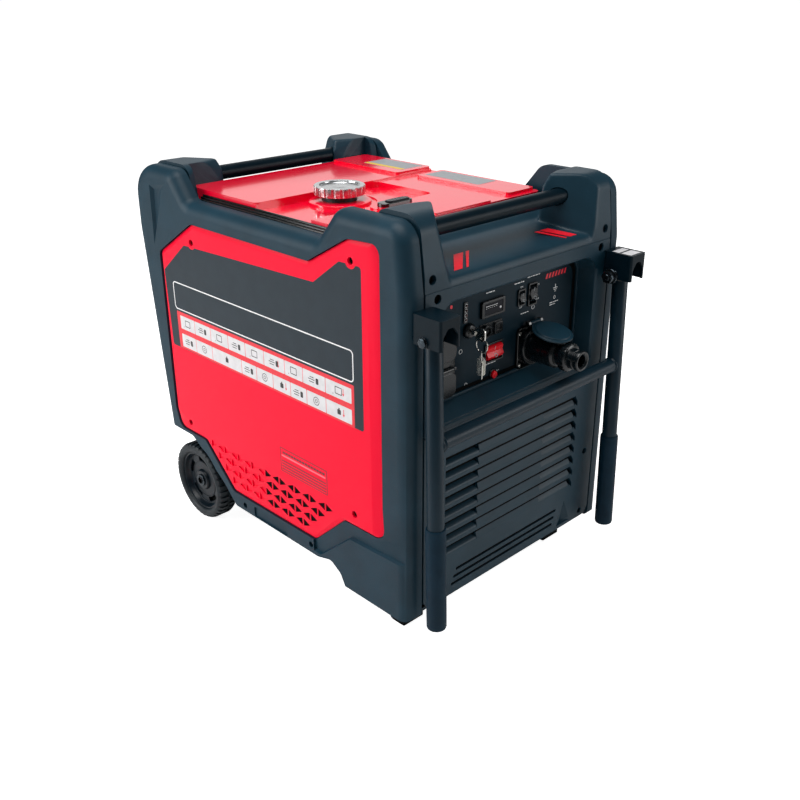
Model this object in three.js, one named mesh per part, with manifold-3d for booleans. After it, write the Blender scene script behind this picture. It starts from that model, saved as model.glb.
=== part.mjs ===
// A portable inverter generator on two wheels, with a fold-down pull handle.
// Millimetres, +Z up. The control panel faces -Y and the wheels stand at +Y.
import * as THREE from "three";
import { ConvexGeometry } from "three/addons/geometries/ConvexGeometry.js";
import { mergeVertices } from "three/addons/utils/BufferGeometryUtils.js";
import Module from "manifold-3d";

// ---- Driving sizes -------------------------------------------------------
const GAP = 0.3; // left between pieces that touch
const ARC_STEPS = 4; // facets in each rounded corner

// Housing
const BODY_WIDTH = 544;
const FRONT = -342; // front face of the panels
const REAR = 421; // rearmost edge, at the rear ears
const FRAME_DEPTH = 34; // thickness of a side frame, across the housing
const FRAME_ROUNDING = 24; // rounding along the outer edge of a side frame
const VALLEY = 684; // top of a side frame between its ears
const EAR_RISE = 57; // from the valley to the top of the ears
const BOOT = 58; // underside of a side frame at its front boot
const SILL_RISE = 28; // from the boot to the underside between boot and wheel
const REAR_SILL_RISE = 107; // from there to the underside behind the wheel
const SHELL = 4; // wall of the moulded covers
const HORN_RISE = 7; // the front horns stand this much above the ears beside them
const PANEL_DROP = 51; // from the valley down to the joint of top covers and panels

// Red side covers
const POCKET_DEPTH = 14; // how deep a side cover is let into its frame
const COVER_BORDER = 9; // sloping border around a side cover
const COVER_LEDGE = 14; // width of the frame ledge behind a side cover
const COVER_BAND = 59; // from the front edge of a frame to its side cover
const COVER_BAND_ABOVE = 38; // from the valley down to the side cover
const COVER_BAND_BELOW = 32; // from the sill up to the side cover
const VENT_ROWS = 4;
const VENT_PITCH = 37; // from one upright triangle to the next
const VENT_HEIGHT = 13;
const VENT_HALF = 12; // half the base of a triangle
const VENT_GAP = 4.5; // between two rows
const VENT_LIFT = 51; // from the sill up to the lowest row
const VENT_FRONT = -69; // the frontmost triangle of the lowest row
const VENT_STAGGER = 26; // each row starts this much further forward

// Red top cover, rails and fuel filler
const TOP_RISE = 13; // from the valley up to the top cover
const TOP_THICKNESS = 18;
const TOP_SETBACK = 150; // from the front face back to the top cover
const TOP_REAR_SETBACK = 129;
const WELL_DEPTH = 11; // the filler stands in a shallow well
const PAD_RISE = 5;
const RAIL_WIDTH = 15.4;
const RAIL_RISE = 4; // from the valley up to the rails
const RAIL_HEIGHT = 18;
const CAP_X = -75;
const CAP_Y = 32;
const CAP_RADIUS = 47;
const CAP_HEIGHT = 18;
const NECK_RADIUS = 30;
const NECK_RISE = 4; // the filler neck ends this much above the top cover

// Lift bars
const BAR_RADIUS = 14;
const BAR_RISE = 26; // from the valley up to the bars
const FRONT_BAR_SETBACK = 61;
const REAR_BAR_SETBACK = 103;
const BAR_MARGIN = 38; // the bars end this far inside the frames, in the horns

// Front panels
const RECESS_DEPTH = 36;
const RECESS_MARGIN = 38; // from the frames in to the recess
const RECESS_DROP = 24; // from the top of the panels down to the recess
const RECESS_HEIGHT = 202;
const RECESS_TAPER = 10; // the recess is narrower at its plate by this much on each side
const SILL_SLOPE = 21; // the sill of the recess rises this much on its way to the plate
const SILL_EDGE = 9; // from the sill down to the grille
const PLATE_THICKNESS = 3;
const LOUVRE_PITCH = 24.6;
const LOUVRE_DROP = 53; // from the top of the grille down to the first louvre
const LOUVRE_MARGIN = 60;
const LOUVRE_HEIGHT = 9;
const GRILLE_LIFT = 12; // from the boots up to the grille
const DRAINS = 3;
const DRAIN_LIFT = 33;
const DRAIN_PITCH = 9;
const DRAIN_HEIGHT = 3;

// Pull handle
const ARM_RADIUS = 14;
const ARM_OFFSET = 2.5; // the arms stand this far outside the inside face of the frames
const ARM_END = 11; // the tube runs on this far above its pivot
const PIVOT_REACH = 24; // from the front face out to the pivots
const PIVOT_DROP = 60; // from the top of the panels down to the pivots
const ARM_FOOT = 60; // height of the lower end of the grips
const ARM_LEAN = 14; // how far the grips stand forward of the pivot
const GRIP_RADIUS = 17;
const GRIP_LENGTH = 192;
const CROSSBAR_RADIUS = 13;
const CROSSBAR_DROP = 174; // from the pivot down to the crossbar
const BRACKET_WIDTH = 43;
const BRACKET_REACH = 34; // from the pivots out to the front of the brackets
const BRACKET_RISE = 40; // from the pivots up to the top of the brackets
const BRACKET_DROP = 7;
const BRACKET_WALL = 4;
const BOLT_RADIUS = 5;
const BOLT_HEAD = 5;

// Wheels, axle and feet
const WHEEL_RADIUS = 84;
const WHEEL_WIDTH = 46;
const WHEEL_SETBACK = 129; // from the rear edge forward to the axle
const WHEEL_CLEARANCE = 12; // between a tyre and the frame above it
const RIM_RADIUS = 63;
const AXLE_RADIUS = 8;
const AXLE_CLEARANCE = 0.4;
const AXLE_INSET = 6; // the axle ends this far inside the sides
const WASHER = 4;
const FOOT_SIZE = 50;
const FOOT_INSET = 39; // from the frames in to the middle of a foot
const FOOT_SETBACK = 83;

// Controls, each placed from the left end of the recess and from its top or its plate's foot
const ROCKER_PROUD = 8.5; // how far a rocker stands out of the plate
const ROCKER_TURN_GAP = 0.5;
const ROCKER_TILT = -0.17; // radians
const SURROUND = 3; // raised edge around a rocker or button
const RESET_RADIUS = 6.5;
const RESET_TRAVEL = 2.5;
const LOCK_RADIUS = 13;
const SHANK_RADIUS = 4.5;
const RING_RADIUS = 12;
const WIRE = 1.1;
const EYE_CLEARANCE = 0.6; // between the key ring's wire and the eyes it runs through
const LID_HALF = 22;
const LID_HINGE = 3; // radius of a lid's hinge barrel
const LID_THICKNESS = 4;
const OUTLET_HALF = 38;
const OUTLET_DEPTH = 5;
const COLLAR_RADIUS = 34;
const COLLAR_LENGTH = 9;
const FLAP_RADIUS = 36;
const FLAP_HINGE = 4;
const FLAP_THICKNESS = 4;
const EAR_HALF = 16; // from the middle of the flap to each of its hinge ears
const PLUG_RADIUS = 26;
const PLUG_LENGTH = 65;
const PLUG_NECK = 10;
const NUT_LENGTH = 37.1;
const GLAND_BORE = 10;

// Machinery inside the housing
const PAN_THICKNESS = 6;
const PAN_INSET = 8; // the pan lies this much above the underside of the frames
const SHAFT_LIFT = 139; // from the sill up to the crankshaft
const SHAFT_RADIUS = 14;
const TANK_MARGIN = 33;
const TANK_HEIGHT = 170;
const STATOR_RADIUS = 88;
const ROTOR_RADIUS = 60;
const FAN_RADIUS = 85;
const INVERTER_HEIGHT = 280;
const SILENCER_HEIGHT = 250;
const TAILPIPE_X = 120;
const TAILPIPE_LIFT = 223; // from the foot of the silencer up to its pipe
const TAILPIPE_RADIUS = 18;

// ---- Derived places ------------------------------------------------------
const HALF = BODY_WIDTH / 2;
const INNER = HALF - FRAME_DEPTH; // inside face of a side frame
const PANEL_HALF = INNER - GAP; // half the width of what fits between the frames
const SILL = BOOT + SILL_RISE;
const REAR_SILL = SILL + REAR_SILL_RISE;
const EAR_TOP = VALLEY + EAR_RISE;
const HORN_TOP = EAR_TOP + HORN_RISE;
const PANEL_TOP = VALLEY - PANEL_DROP;
const TOP_Z = VALLEY + TOP_RISE;
const TOP_UNDER = TOP_Z - TOP_THICKNESS;
const TOP_FRONT = FRONT + TOP_SETBACK;
const TOP_REAR = REAR - TOP_REAR_SETBACK;
const TOP_HALF = PANEL_HALF - RAIL_WIDTH - GAP;
const RAIL_TOP = VALLEY + RAIL_RISE;
const RAIL_FRONT = TOP_FRONT - 13;
const RAIL_REAR = TOP_REAR - 48;
const NECK_TOP = TOP_Z + NECK_RISE;
const BAR_Z = VALLEY + BAR_RISE;
const FRONT_BAR_Y = FRONT + FRONT_BAR_SETBACK;
const REAR_BAR_Y = REAR - REAR_BAR_SETBACK;
const BAR_HALF = INNER - BAR_MARGIN;
const PLATE_Y = FRONT + RECESS_DEPTH; // front face of the control plate
const SEAT = PLATE_Y - GAP; // what is fixed to the plate starts here
const RECESS_HALF = INNER - RECESS_MARGIN;
const RECESS_TOP = PANEL_TOP - RECESS_DROP;
const RECESS_SILL = RECESS_TOP - RECESS_HEIGHT;
const LEDGE_TOP = RECESS_SILL + SILL_SLOPE; // where the sloping sill meets the plate
const BEZEL_BOTTOM = RECESS_SILL - SILL_EDGE;
const GRILLE_BOTTOM = BOOT + GRILLE_LIFT;
const LOUVRE_TOP = BEZEL_BOTTOM - LOUVRE_DROP;
const LOUVRE_HALF = INNER - LOUVRE_MARGIN;
const LOUVRE_LOWEST = GRILLE_BOTTOM + DRAIN_LIFT + DRAINS * DRAIN_PITCH + 30;
const LOUVRES = 1 + Math.floor((LOUVRE_TOP - LOUVRE_LOWEST) / LOUVRE_PITCH);
const ARM_X = INNER + ARM_OFFSET;
const PIVOT_Y = FRONT - PIVOT_REACH;
const PIVOT_Z = PANEL_TOP - PIVOT_DROP;
const ARM_LENGTH = PIVOT_Z - ARM_FOOT;
const WHEEL_X = HALF - WHEEL_WIDTH / 2;
const WHEEL_Y = REAR - WHEEL_SETBACK;
const FOOT_X = INNER - FOOT_INSET;
const FOOT_Y = FRONT + FOOT_SETBACK;
const SHAFT_Z = SILL + SHAFT_LIFT;

// ---- Materials -----------------------------------------------------------
const finish = (color, roughness, metalness = 0) =>
  new THREE.MeshStandardMaterial({ color, roughness, metalness });
const blackPlastic = finish(0x2b363d, 0.55);
const darkPlastic = finish(0x14191d, 0.5);
const redPlastic = finish(0xf5152f, 0.3);
const blackSteel = finish(0x2f3a41, 0.42, 0.3);
const rubber = finish(0x1b2024, 0.8);
const brightSteel = finish(0xc9cccd, 0.25, 1);
const castAluminium = finish(0x9a9fa3, 0.5, 0.9);
const copper = finish(0xb4672f, 0.4, 0.9);

// ---- Solid helpers -------------------------------------------------------
const wasm = await Module();
wasm.setup();

// A closed three.js geometry as a solid that can be joined and cut.
function solid(geometry) {
  const bare = geometry.clone();
  bare.deleteAttribute("normal");
  bare.deleteAttribute("uv");
  const merged = mergeVertices(bare, 1e-4);
  return new wasm.Manifold(
    new wasm.Mesh({
      numProp: 3,
      vertProperties: merged.attributes.position.array,
      triVerts: new Uint32Array(merged.index.array),
    }),
  );
}

function geometryOf(shape) {
  const { vertProperties, triVerts } = shape.getMesh();
  const geometry = new THREE.BufferGeometry();
  geometry.setAttribute("position", new THREE.BufferAttribute(vertProperties, 3));
  geometry.setIndex(new THREE.BufferAttribute(triVerts, 1));
  geometry.computeVertexNormals();
  return geometry;
}

const join = (first, ...others) => others.reduce((sum, s) => sum.add(s), first);
const cut = (first, ...others) => others.reduce((rest, s) => rest.subtract(s), first);

// A box between two opposite corners.
function block(x0, x1, y0, y1, z0, z1) {
  const box = new THREE.BoxGeometry(Math.abs(x1 - x0), y1 - y0, z1 - z0);
  return solid(box.translate((x0 + x1) / 2, (y0 + y1) / 2, (z0 + z1) / 2));
}

// A closed outline through corners [u, v, radius], with each corner rounded by an arc.
function outline(corners, steps = ARC_STEPS) {
  const points = [];
  corners.forEach(([u, v, radius = 0], i) => {
    const corner = new THREE.Vector2(u, v);
    if (!radius) return points.push(corner);
    const before = corners.at(i - 1);
    const after = corners[(i + 1) % corners.length];
    const back = new THREE.Vector2(before[0], before[1]).sub(corner).normalize();
    const ahead = new THREE.Vector2(after[0], after[1]).sub(corner).normalize();
    const half = Math.acos(THREE.MathUtils.clamp(back.dot(ahead), -1, 1)) / 2;
    const middle = back.clone().add(ahead).normalize();
    const centre = corner.clone().addScaledVector(middle, radius / Math.sin(half));
    const start = corner.clone().addScaledVector(back, radius / Math.tan(half)).sub(centre);
    const turn = (Math.PI - 2 * half) * Math.sign(ahead.cross(back));
    for (let k = 0; k <= steps; k++) {
      const spoke = start.clone().rotateAround(new THREE.Vector2(), (turn * k) / steps);
      points.push(spoke.add(centre));
    }
  });
  return new THREE.Shape(points);
}

const rectangle = (u0, u1, v0, v1, radius = 0) =>
  outline([[u0, v0, radius], [u1, v0, radius], [u1, v1, radius], [u0, v1, radius]]);

function extrusion(shape, depth, bevel) {
  const options = { depth, bevelEnabled: false, curveSegments: 16 };
  return new THREE.ExtrudeGeometry(shape, { ...options, ...bevel });
}

// Prisms: an outline drawn in (y, z), (x, z) or (x, y) and pushed along the third axis.
function prismX(shape, x0, x1) {
  const [low, high] = [Math.min(x0, x1), Math.max(x0, x1)];
  const turn = new THREE.Matrix4().set(0, 0, 1, low, 1, 0, 0, 0, 0, 1, 0, 0, 0, 0, 0, 1);
  return solid(extrusion(shape, high - low).applyMatrix4(turn));
}

function prismY(shape, y0, y1) {
  const turn = new THREE.Matrix4().set(1, 0, 0, 0, 0, 0, -1, y1, 0, 1, 0, 0, 0, 0, 0, 1);
  return solid(extrusion(shape, y1 - y0).applyMatrix4(turn));
}

function prismZ(shape, z0, z1) {
  return solid(extrusion(shape, z1 - z0).translate(0, 0, z0));
}

// A round bar along "x", "y" or "z" between two places, centred on the other two.
function rod(axis, [u, v], radius, from, to, sides = 20, endRadius = radius) {
  const low = Math.min(from, to);
  const length = Math.abs(to - from);
  const bar = new THREE.CylinderGeometry(endRadius, radius, length, sides);
  if (axis === "x") bar.rotateZ(-Math.PI / 2).translate(low + length / 2, u, v);
  if (axis === "y") bar.translate(u, low + length / 2, v);
  if (axis === "z") bar.rotateX(Math.PI / 2).translate(u, v, low + length / 2);
  return solid(bar);
}

// The smallest convex body around a set of points.
const hull = (points) => solid(new ConvexGeometry(points.map((p) => new THREE.Vector3(...p))));

// The outline of a sheet bent along a path, with its thickness on the right of the path.
function sheet(path, thickness) {
  const points = path.map(([u, v]) => new THREE.Vector2(u, v));
  const normals = points.slice(1).map((point, i) => {
    const along = point.clone().sub(points[i]).normalize();
    return new THREE.Vector2(along.y, -along.x);
  });
  const far = points.map((point, i) => {
    const before = normals[Math.max(i - 1, 0)];
    const after = normals[Math.min(i, normals.length - 1)];
    const mitre = before.clone().add(after).divideScalar(1 + before.dot(after));
    return point.clone().addScaledVector(mitre, thickness);
  });
  return new THREE.Shape([...points, ...far.reverse()]);
}

// A body turned about "x", "y" or "z" through a point. The profile holds [radius, height], and
// starts and ends on the axis; a ring's profile keeps off the axis and is closed here.
function turned(axis, [x, y, z], profile, sides = 28) {
  const closed = profile[0][0] > 0 ? [...profile, profile[0]] : profile;
  const points = closed.map(([radius, height]) => new THREE.Vector2(radius, height));
  const lathe = new THREE.LatheGeometry(points, sides);
  if (axis === "x") lathe.rotateZ(-Math.PI / 2);
  if (axis === "z") lathe.rotateX(Math.PI / 2);
  return solid(lathe.translate(x, y, z));
}

// ---- The assembly --------------------------------------------------------
const generator = new THREE.Group();
const SIDES = [[-1, "left"], [1, "right"]];

function piece(name, material, shape, parent = generator) {
  const mesh = new THREE.Mesh(geometryOf(shape), material);
  mesh.name = name;
  parent.add(mesh);
}

// Side frames: a thick moulding with raised ears, cut away over the wheel.
const FRONT_EAR_REAR = FRONT + 212;
const REAR_EAR_FRONT = REAR - 183;
const REAR_EAR_LEAN = 40; // the rear edge stands this much further forward at the sill
const BOOT_REAR = FRONT + 160;
const BELOW = -60; // outlines that are cut off below run down to here
const ABOVE = EAR_TOP + 160;
const BEHIND = REAR + 20;
const upperFrame = [
  [FRONT, BELOW],
  [FRONT, PANEL_TOP, 60],
  [FRONT + 13, EAR_TOP, FRAME_ROUNDING + 12],
  [FRONT_EAR_REAR - 48, EAR_TOP, FRAME_ROUNDING + 4],
  [FRONT_EAR_REAR, VALLEY, 14],
  [REAR_EAR_FRONT, VALLEY, 16],
  [REAR_EAR_FRONT + 42, EAR_TOP - 5, FRAME_ROUNDING + 4],
  [REAR - 2, EAR_TOP - 5, FRAME_ROUNDING + 38],
  [REAR, PANEL_TOP - 20, 40],
  [REAR - REAR_EAR_LEAN, REAR_SILL],
  [REAR - REAR_EAR_LEAN - 22, BELOW],
];
const lowerFrame = [
  [FRONT, BOOT, 12],
  [BOOT_REAR, BOOT],
  [BOOT_REAR + 12, SILL - 6, 10],
  [BOOT_REAR + 38, SILL + 10, 14],
  [BOOT_REAR + 74, SILL, 10],
  [WHEEL_Y - 142, SILL, 12],
  [WHEEL_Y - 104, SILL + 37, 30],
  [WHEEL_Y - 26, REAR_SILL - 15, 20],
  [WHEEL_Y, REAR_SILL, 8],
  [BEHIND, REAR_SILL],
  [BEHIND, ABOVE],
  [FRONT, ABOVE],
];

// The red side cover follows the frame around it, at the width of the frame's border.
const COVER_FRONT = FRONT + COVER_BAND;
const COVER_TOP = VALLEY - COVER_BAND_ABOVE;
const COVER_LOW = SILL + COVER_BAND_BELOW;
const COVER_SHOULDER = REAR_SILL + 5; // underside of the cover at its two ends
const coverOutline = (grow) => [
  [COVER_FRONT - grow, COVER_SHOULDER - 1 - grow, COVER_BORDER + 7],
  [COVER_FRONT - grow, VALLEY + 20 + grow, COVER_BORDER + 9],
  [FRONT + 131 + grow * 0.5, VALLEY + 16 + grow, COVER_BORDER + 21],
  [FRONT + 228 + grow * 0.3, COVER_TOP + grow, 10],
  [REAR - 196 + grow * 0.5, COVER_TOP + grow, COVER_BORDER + 11],
  [REAR - 78 + grow, COVER_TOP - 72 + grow * 0.5, COVER_BORDER + 5],
  [REAR - 75 + grow, COVER_SHOULDER + 42, COVER_BORDER + 5],
  [REAR - 87 + grow * 0.5, COVER_SHOULDER + 2 - grow, COVER_BORDER + 11],
  [WHEEL_Y - 48 + grow * 0.3, COVER_SHOULDER + 2 - grow, 10],
  [WHEEL_Y - 137 + grow * 0.5, COVER_LOW - 1 - grow, COVER_BORDER + 7],
  [BOOT_REAR + 83 - grow * 0.5, COVER_LOW + 1 - grow, COVER_BORDER + 7],
  [BOOT_REAR - grow * 0.5, COVER_SHOULDER - 3 - grow, 10],
];

// An outline in (y, z), pushed across from x0 to x1.
const ACROSS = new THREE.Matrix4().set(0, 0, 1, 0, 1, 0, 0, 0, 0, 1, 0, 0, 0, 0, 0, 1);

// An outline pushed across, with its edges sloped or rounded at both ends, about the plane x = 0.
function bevelled(shape, depth, inset, rise, steps) {
  const bevel = { bevelEnabled: true, bevelThickness: rise, bevelSize: inset };
  const options = { ...bevel, bevelOffset: -inset, bevelSegments: steps };
  const made = extrusion(shape, depth - 2 * rise, options);
  return made.applyMatrix4(ACROSS).translate(rise - depth / 2, 0, 0);
}

function sideFrame(side) {
  const depth = 2 * FRAME_DEPTH; // only the rounded outer half is kept
  const rounded = bevelled(outline(upperFrame), depth, FRAME_ROUNDING, FRAME_ROUNDING, 3);
  rounded.translate(side * INNER, 0, 0);
  const kept = prismX(outline(lowerFrame), side * INNER, side * (HALF + 1));
  const pocket = outline(coverOutline(GAP));
  const opening = outline(coverOutline(-COVER_LEDGE));
  const arch = WHEEL_RADIUS + WHEEL_CLEARANCE;
  return cut(
    solid(rounded).intersect(kept),
    prismX(pocket, side * (HALF - POCKET_DEPTH), side * (HALF + 1)),
    prismX(opening, side * (INNER - 1), side * HALF),
    rod("x", [WHEEL_Y, WHEEL_RADIUS], arch, side * (INNER - 1), side * (HALF + 1), 40),
  );
}

// Air leaves through rows of triangles, upright and inverted by turns.
function coverVents(side) {
  const holes = [];
  for (let row = 0; row < VENT_ROWS; row++) {
    const bottom = SILL + VENT_LIFT + row * (VENT_HEIGHT + VENT_GAP);
    const front = VENT_FRONT - row * VENT_STAGGER;
    for (let step = 0; step < 3 + Math.ceil(row / 2); step++) {
      for (const flip of [0, 1]) {
        const middle = front + step * VENT_PITCH + (flip * VENT_PITCH) / 2;
        const base = bottom + flip * VENT_HEIGHT;
        const tip = bottom + (1 - flip) * VENT_HEIGHT;
        const hole = outline([[middle - VENT_HALF, base], [middle + VENT_HALF, base], [middle, tip]]);
        holes.push(prismX(hole, side * INNER, side * (HALF + 1)));
      }
    }
  }
  return holes;
}

function sideCover(side) {
  const thickness = POCKET_DEPTH - 2 * GAP;
  const rise = thickness / 3;
  const made = bevelled(outline(coverOutline(0)), thickness + rise, COVER_BORDER, rise, 1);
  // Its sloping border faces outwards; the inner border is cut off flat.
  made.translate(side * (HALF - GAP - (thickness + rise) / 2), 0, 0);
  const back = side * (HALF - POCKET_DEPTH + GAP);
  const kept = block(side * HALF + side, back, COVER_FRONT - 1, REAR, BOOT, EAR_TOP);
  return cut(solid(made).intersect(kept), ...coverVents(side));
}

for (const [side, name] of SIDES) {
  piece("side_frame_" + name, blackPlastic, sideFrame(side));
  piece("side_cover_" + name, redPlastic, sideCover(side));
}

// Steel floor of the housing, bent to follow the underside of the frames.
const PAN_REAR = REAR - 73 - GAP;
const PAN_RAMP = WHEEL_Y - 152; // the pan rises over the wheels from here
const PAN_LEVEL = WHEEL_Y - 14; // and is level again from here
const panPath = [
  [FRONT + SHELL + GAP, BOOT + PAN_INSET + PAN_THICKNESS],
  [BOOT_REAR - 6, BOOT + PAN_INSET + PAN_THICKNESS],
  [BOOT_REAR + 42, SILL + PAN_INSET + PAN_THICKNESS],
  [PAN_RAMP, SILL + PAN_INSET + PAN_THICKNESS],
  [PAN_LEVEL, REAR_SILL + PAN_INSET + PAN_THICKNESS],
  [PAN_REAR, REAR_SILL + PAN_INSET + PAN_THICKNESS],
];
piece("base_pan", blackSteel, prismX(sheet(panPath, PAN_THICKNESS), -PANEL_HALF, PANEL_HALF));

// Top covers: a bent sheet between two horns, with a hand pocket under the lift bar.
const WALL_TOP = TOP_UNDER - GAP;
const POCKET_FLOOR = PANEL_TOP + 1;
const frontShelf = [
  [FRONT + 1, PANEL_TOP - 2],
  [FRONT + 4, PANEL_TOP + 11],
  [FRONT + 12, PANEL_TOP + 15],
  [FRONT_BAR_Y + 23, PANEL_TOP + 34],
  [FRONT_BAR_Y + 31, POCKET_FLOOR + 4],
  [TOP_FRONT + 2, POCKET_FLOOR],
  [TOP_FRONT + 2, WALL_TOP],
];
const rearShelf = [
  [TOP_REAR - 2, WALL_TOP],
  [TOP_REAR - 2, POCKET_FLOOR],
  [REAR - 59, POCKET_FLOOR + 4],
  [REAR - 52, PANEL_TOP + 33],
  [REAR - 16, PANEL_TOP + 29],
  [REAR - 9, PANEL_TOP + 17],
  [REAR - 11, PANEL_TOP + 7],
  [REAR - 26, PANEL_TOP - 2],
];
// A horn is the hull of rungs [y, z, inner x] that all reach out to the frame.
const OUTER_ONLY = INNER - 2;
const frontHorn = [
  [FRONT + 1, PANEL_TOP + 1, INNER - 60],
  [FRONT + 5, PANEL_TOP + 67, INNER - 58],
  [FRONT + 12, HORN_TOP - 12, INNER - 42],
  [FRONT + 21, HORN_TOP, INNER - 33],
  [FRONT_BAR_Y + 13, HORN_TOP, INNER - 88],
  [FRONT_BAR_Y + 23, HORN_TOP - 23, INNER - 101],
  [FRONT_BAR_Y + 27, PANEL_TOP + 1, INNER - 104],
  [FRONT_BAR_Y + 31, HORN_TOP, OUTER_ONLY],
  [TOP_FRONT - 13, PANEL_TOP + 57, OUTER_ONLY],
  [TOP_FRONT - 13, PANEL_TOP + 1, OUTER_ONLY],
];
const rearHorn = [
  [REAR - 16, PANEL_TOP + 7, INNER - 60],
  [REAR - 13, PANEL_TOP + 57, INNER - 58],
  [REAR - 36, EAR_TOP - 12, INNER - 44],
  [REAR - 62, EAR_TOP, INNER - 42],
  [REAR_BAR_Y - 8, EAR_TOP, INNER - 86],
  [REAR_BAR_Y - 17, EAR_TOP - 20, INNER - 97],
  [REAR_BAR_Y - 20, PANEL_TOP + 1, INNER - 100],
  [REAR_BAR_Y - 28, EAR_TOP, OUTER_ONLY],
  [REAR_EAR_FRONT + 6, PANEL_TOP + 62, OUTER_ONLY],
  [REAR_EAR_FRONT + 6, PANEL_TOP + 1, OUTER_ONLY],
];

function horn(side, rungs) {
  const ends = rungs.flatMap(([y, z, x]) => [[side * x, y, z], [side * PANEL_HALF, y, z]]);
  return hull(ends);
}

function topCover(shelf, rungs, barY) {
  const sheetBody = prismX(sheet(shelf, SHELL), -PANEL_HALF, PANEL_HALF);
  const socket = rod("x", [barY, BAR_Z], BAR_RADIUS + GAP, -BAR_HALF - GAP, BAR_HALF + GAP);
  const [half, front, rear] = [TOP_HALF + GAP, TOP_FRONT - GAP, TOP_REAR + GAP];
  const clearOfTop = block(-half, half, front, rear, TOP_UNDER - GAP, ABOVE);
  const railLow = RAIL_TOP - RAIL_HEIGHT - GAP;
  const clearOfRails = block(-HALF, HALF, RAIL_FRONT - GAP, RAIL_REAR + GAP, railLow, ABOVE);
  const belowJoint = block(-HALF, HALF, FRONT - 1, REAR, BOOT, PANEL_TOP + GAP);
  const whole = join(sheetBody, horn(-1, rungs), horn(1, rungs));
  return cut(whole, socket, clearOfTop, clearOfRails, belowJoint);
}

piece("front_top_cover", blackPlastic, topCover(frontShelf, frontHorn, FRONT_BAR_Y));
piece("rear_top_cover", blackPlastic, topCover(rearShelf, rearHorn, REAR_BAR_Y));
const liftBar = (y) => rod("x", [y, BAR_Z], BAR_RADIUS, -BAR_HALF, BAR_HALF);
piece("front_lift_bar", blackSteel, liftBar(FRONT_BAR_Y));
piece("rear_lift_bar", blackSteel, liftBar(REAR_BAR_Y));

// Rails beside the red top cover, each with two grooves along it.
function topRail(side) {
  const inside = side * (TOP_HALF + GAP);
  const outside = side * PANEL_HALF;
  const strip = block(inside, outside, RAIL_FRONT, RAIL_REAR, RAIL_TOP - RAIL_HEIGHT, RAIL_TOP);
  const grooves = [0.33, 0.67].map((share) => {
    const x = inside + (outside - inside) * share;
    return block(x - 1, x + 1, RAIL_FRONT - 1, RAIL_REAR + 1, RAIL_TOP - 3, RAIL_TOP + 1);
  });
  return cut(strip, ...grooves);
}
for (const [side, name] of SIDES) piece("top_rail_" + name, darkPlastic, topRail(side));

// Red top cover with the filler well, two label pads and the gauge pad.
const GAUGE_X = -64;
const GAUGE_Y = -100;
const GAUGE_LENGTH = 72;
const GAUGE_WIDTH = 26;
const wellFront = CAP_Y - 99;
const wellRear = CAP_Y + 53;
const wellRight = CAP_X + 140;
const oval = (x, y, length, width) =>
  rectangle(x - length / 2, x + length / 2, y - width / 2, y + width / 2, width / 2 - 0.5);

function redTopCover() {
  const plate = prismZ(rectangle(-TOP_HALF, TOP_HALF, TOP_FRONT, TOP_REAR, 10), TOP_UNDER, TOP_Z);
  const rearStep = block(-TOP_HALF, TOP_HALF, wellRear, TOP_REAR, TOP_Z - 1, TOP_Z + 3);
  const rearPad = rectangle(TOP_HALF - 97, TOP_HALF - 2, wellRear + 5, TOP_REAR - 4, 8);
  const frontPad = rectangle(TOP_HALF - 77, TOP_HALF - 2, TOP_FRONT + 14, wellRear - 27, 8);
  const gaugePad = oval(GAUGE_X, GAUGE_Y, GAUGE_LENGTH + 26, GAUGE_WIDTH + 22);
  const well = rectangle(-TOP_HALF - 20, wellRight, wellFront, wellRear, 14);
  const gaugeHole = oval(GAUGE_X, GAUGE_Y, GAUGE_LENGTH + 2 * GAP, GAUGE_WIDTH + 2 * GAP);
  return cut(
    join(
      plate,
      rearStep,
      prismZ(rearPad, TOP_Z, TOP_Z + 3 + PAD_RISE),
      prismZ(frontPad, TOP_Z - 1, TOP_Z + PAD_RISE),
      prismZ(gaugePad, TOP_Z - 1, TOP_Z + PAD_RISE + 1),
    ),
    prismZ(well, TOP_Z - WELL_DEPTH, TOP_Z + 10),
    rod("z", [CAP_X, CAP_Y], NECK_RADIUS + GAP, TOP_UNDER - 1, TOP_Z, 32),
    prismZ(gaugeHole, TOP_Z - 4, TOP_Z + 10),
  );
}
piece("top_cover", redPlastic, redTopCover());
const gaugeBody = oval(GAUGE_X, GAUGE_Y, GAUGE_LENGTH, GAUGE_WIDTH);
piece("fuel_gauge", darkPlastic, prismZ(gaugeBody, TOP_Z - 4 + GAP, TOP_Z + 14));

// Fuel tank: a rounded box on a flange between the frames, with its filler neck.
const TANK_TOP = TOP_UNDER - 4;
const TANK_BOTTOM = TANK_TOP - TANK_HEIGHT;
const TANK_HALF = INNER - TANK_MARGIN;
function fuelTank() {
  const [front, rear] = [TOP_FRONT + 42, TOP_REAR - 52];
  const tank = prismZ(rectangle(-TANK_HALF, TANK_HALF, front, rear, 30), TANK_BOTTOM, TANK_TOP);
  const flangeTop = TANK_TOP - 76;
  const flange = block(-PANEL_HALF, PANEL_HALF, front + 10, rear - 10, flangeTop - 4, flangeTop);
  const neck = rod("z", [CAP_X, CAP_Y], NECK_RADIUS, TANK_TOP - 1, NECK_TOP, 32);
  const bore = rod("z", [CAP_X, CAP_Y], NECK_RADIUS - 3, TANK_TOP - 20, NECK_TOP + 1, 32);
  return cut(join(tank, flange, neck), bore);
}
piece("fuel_tank", blackSteel, fuelTank());

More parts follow.
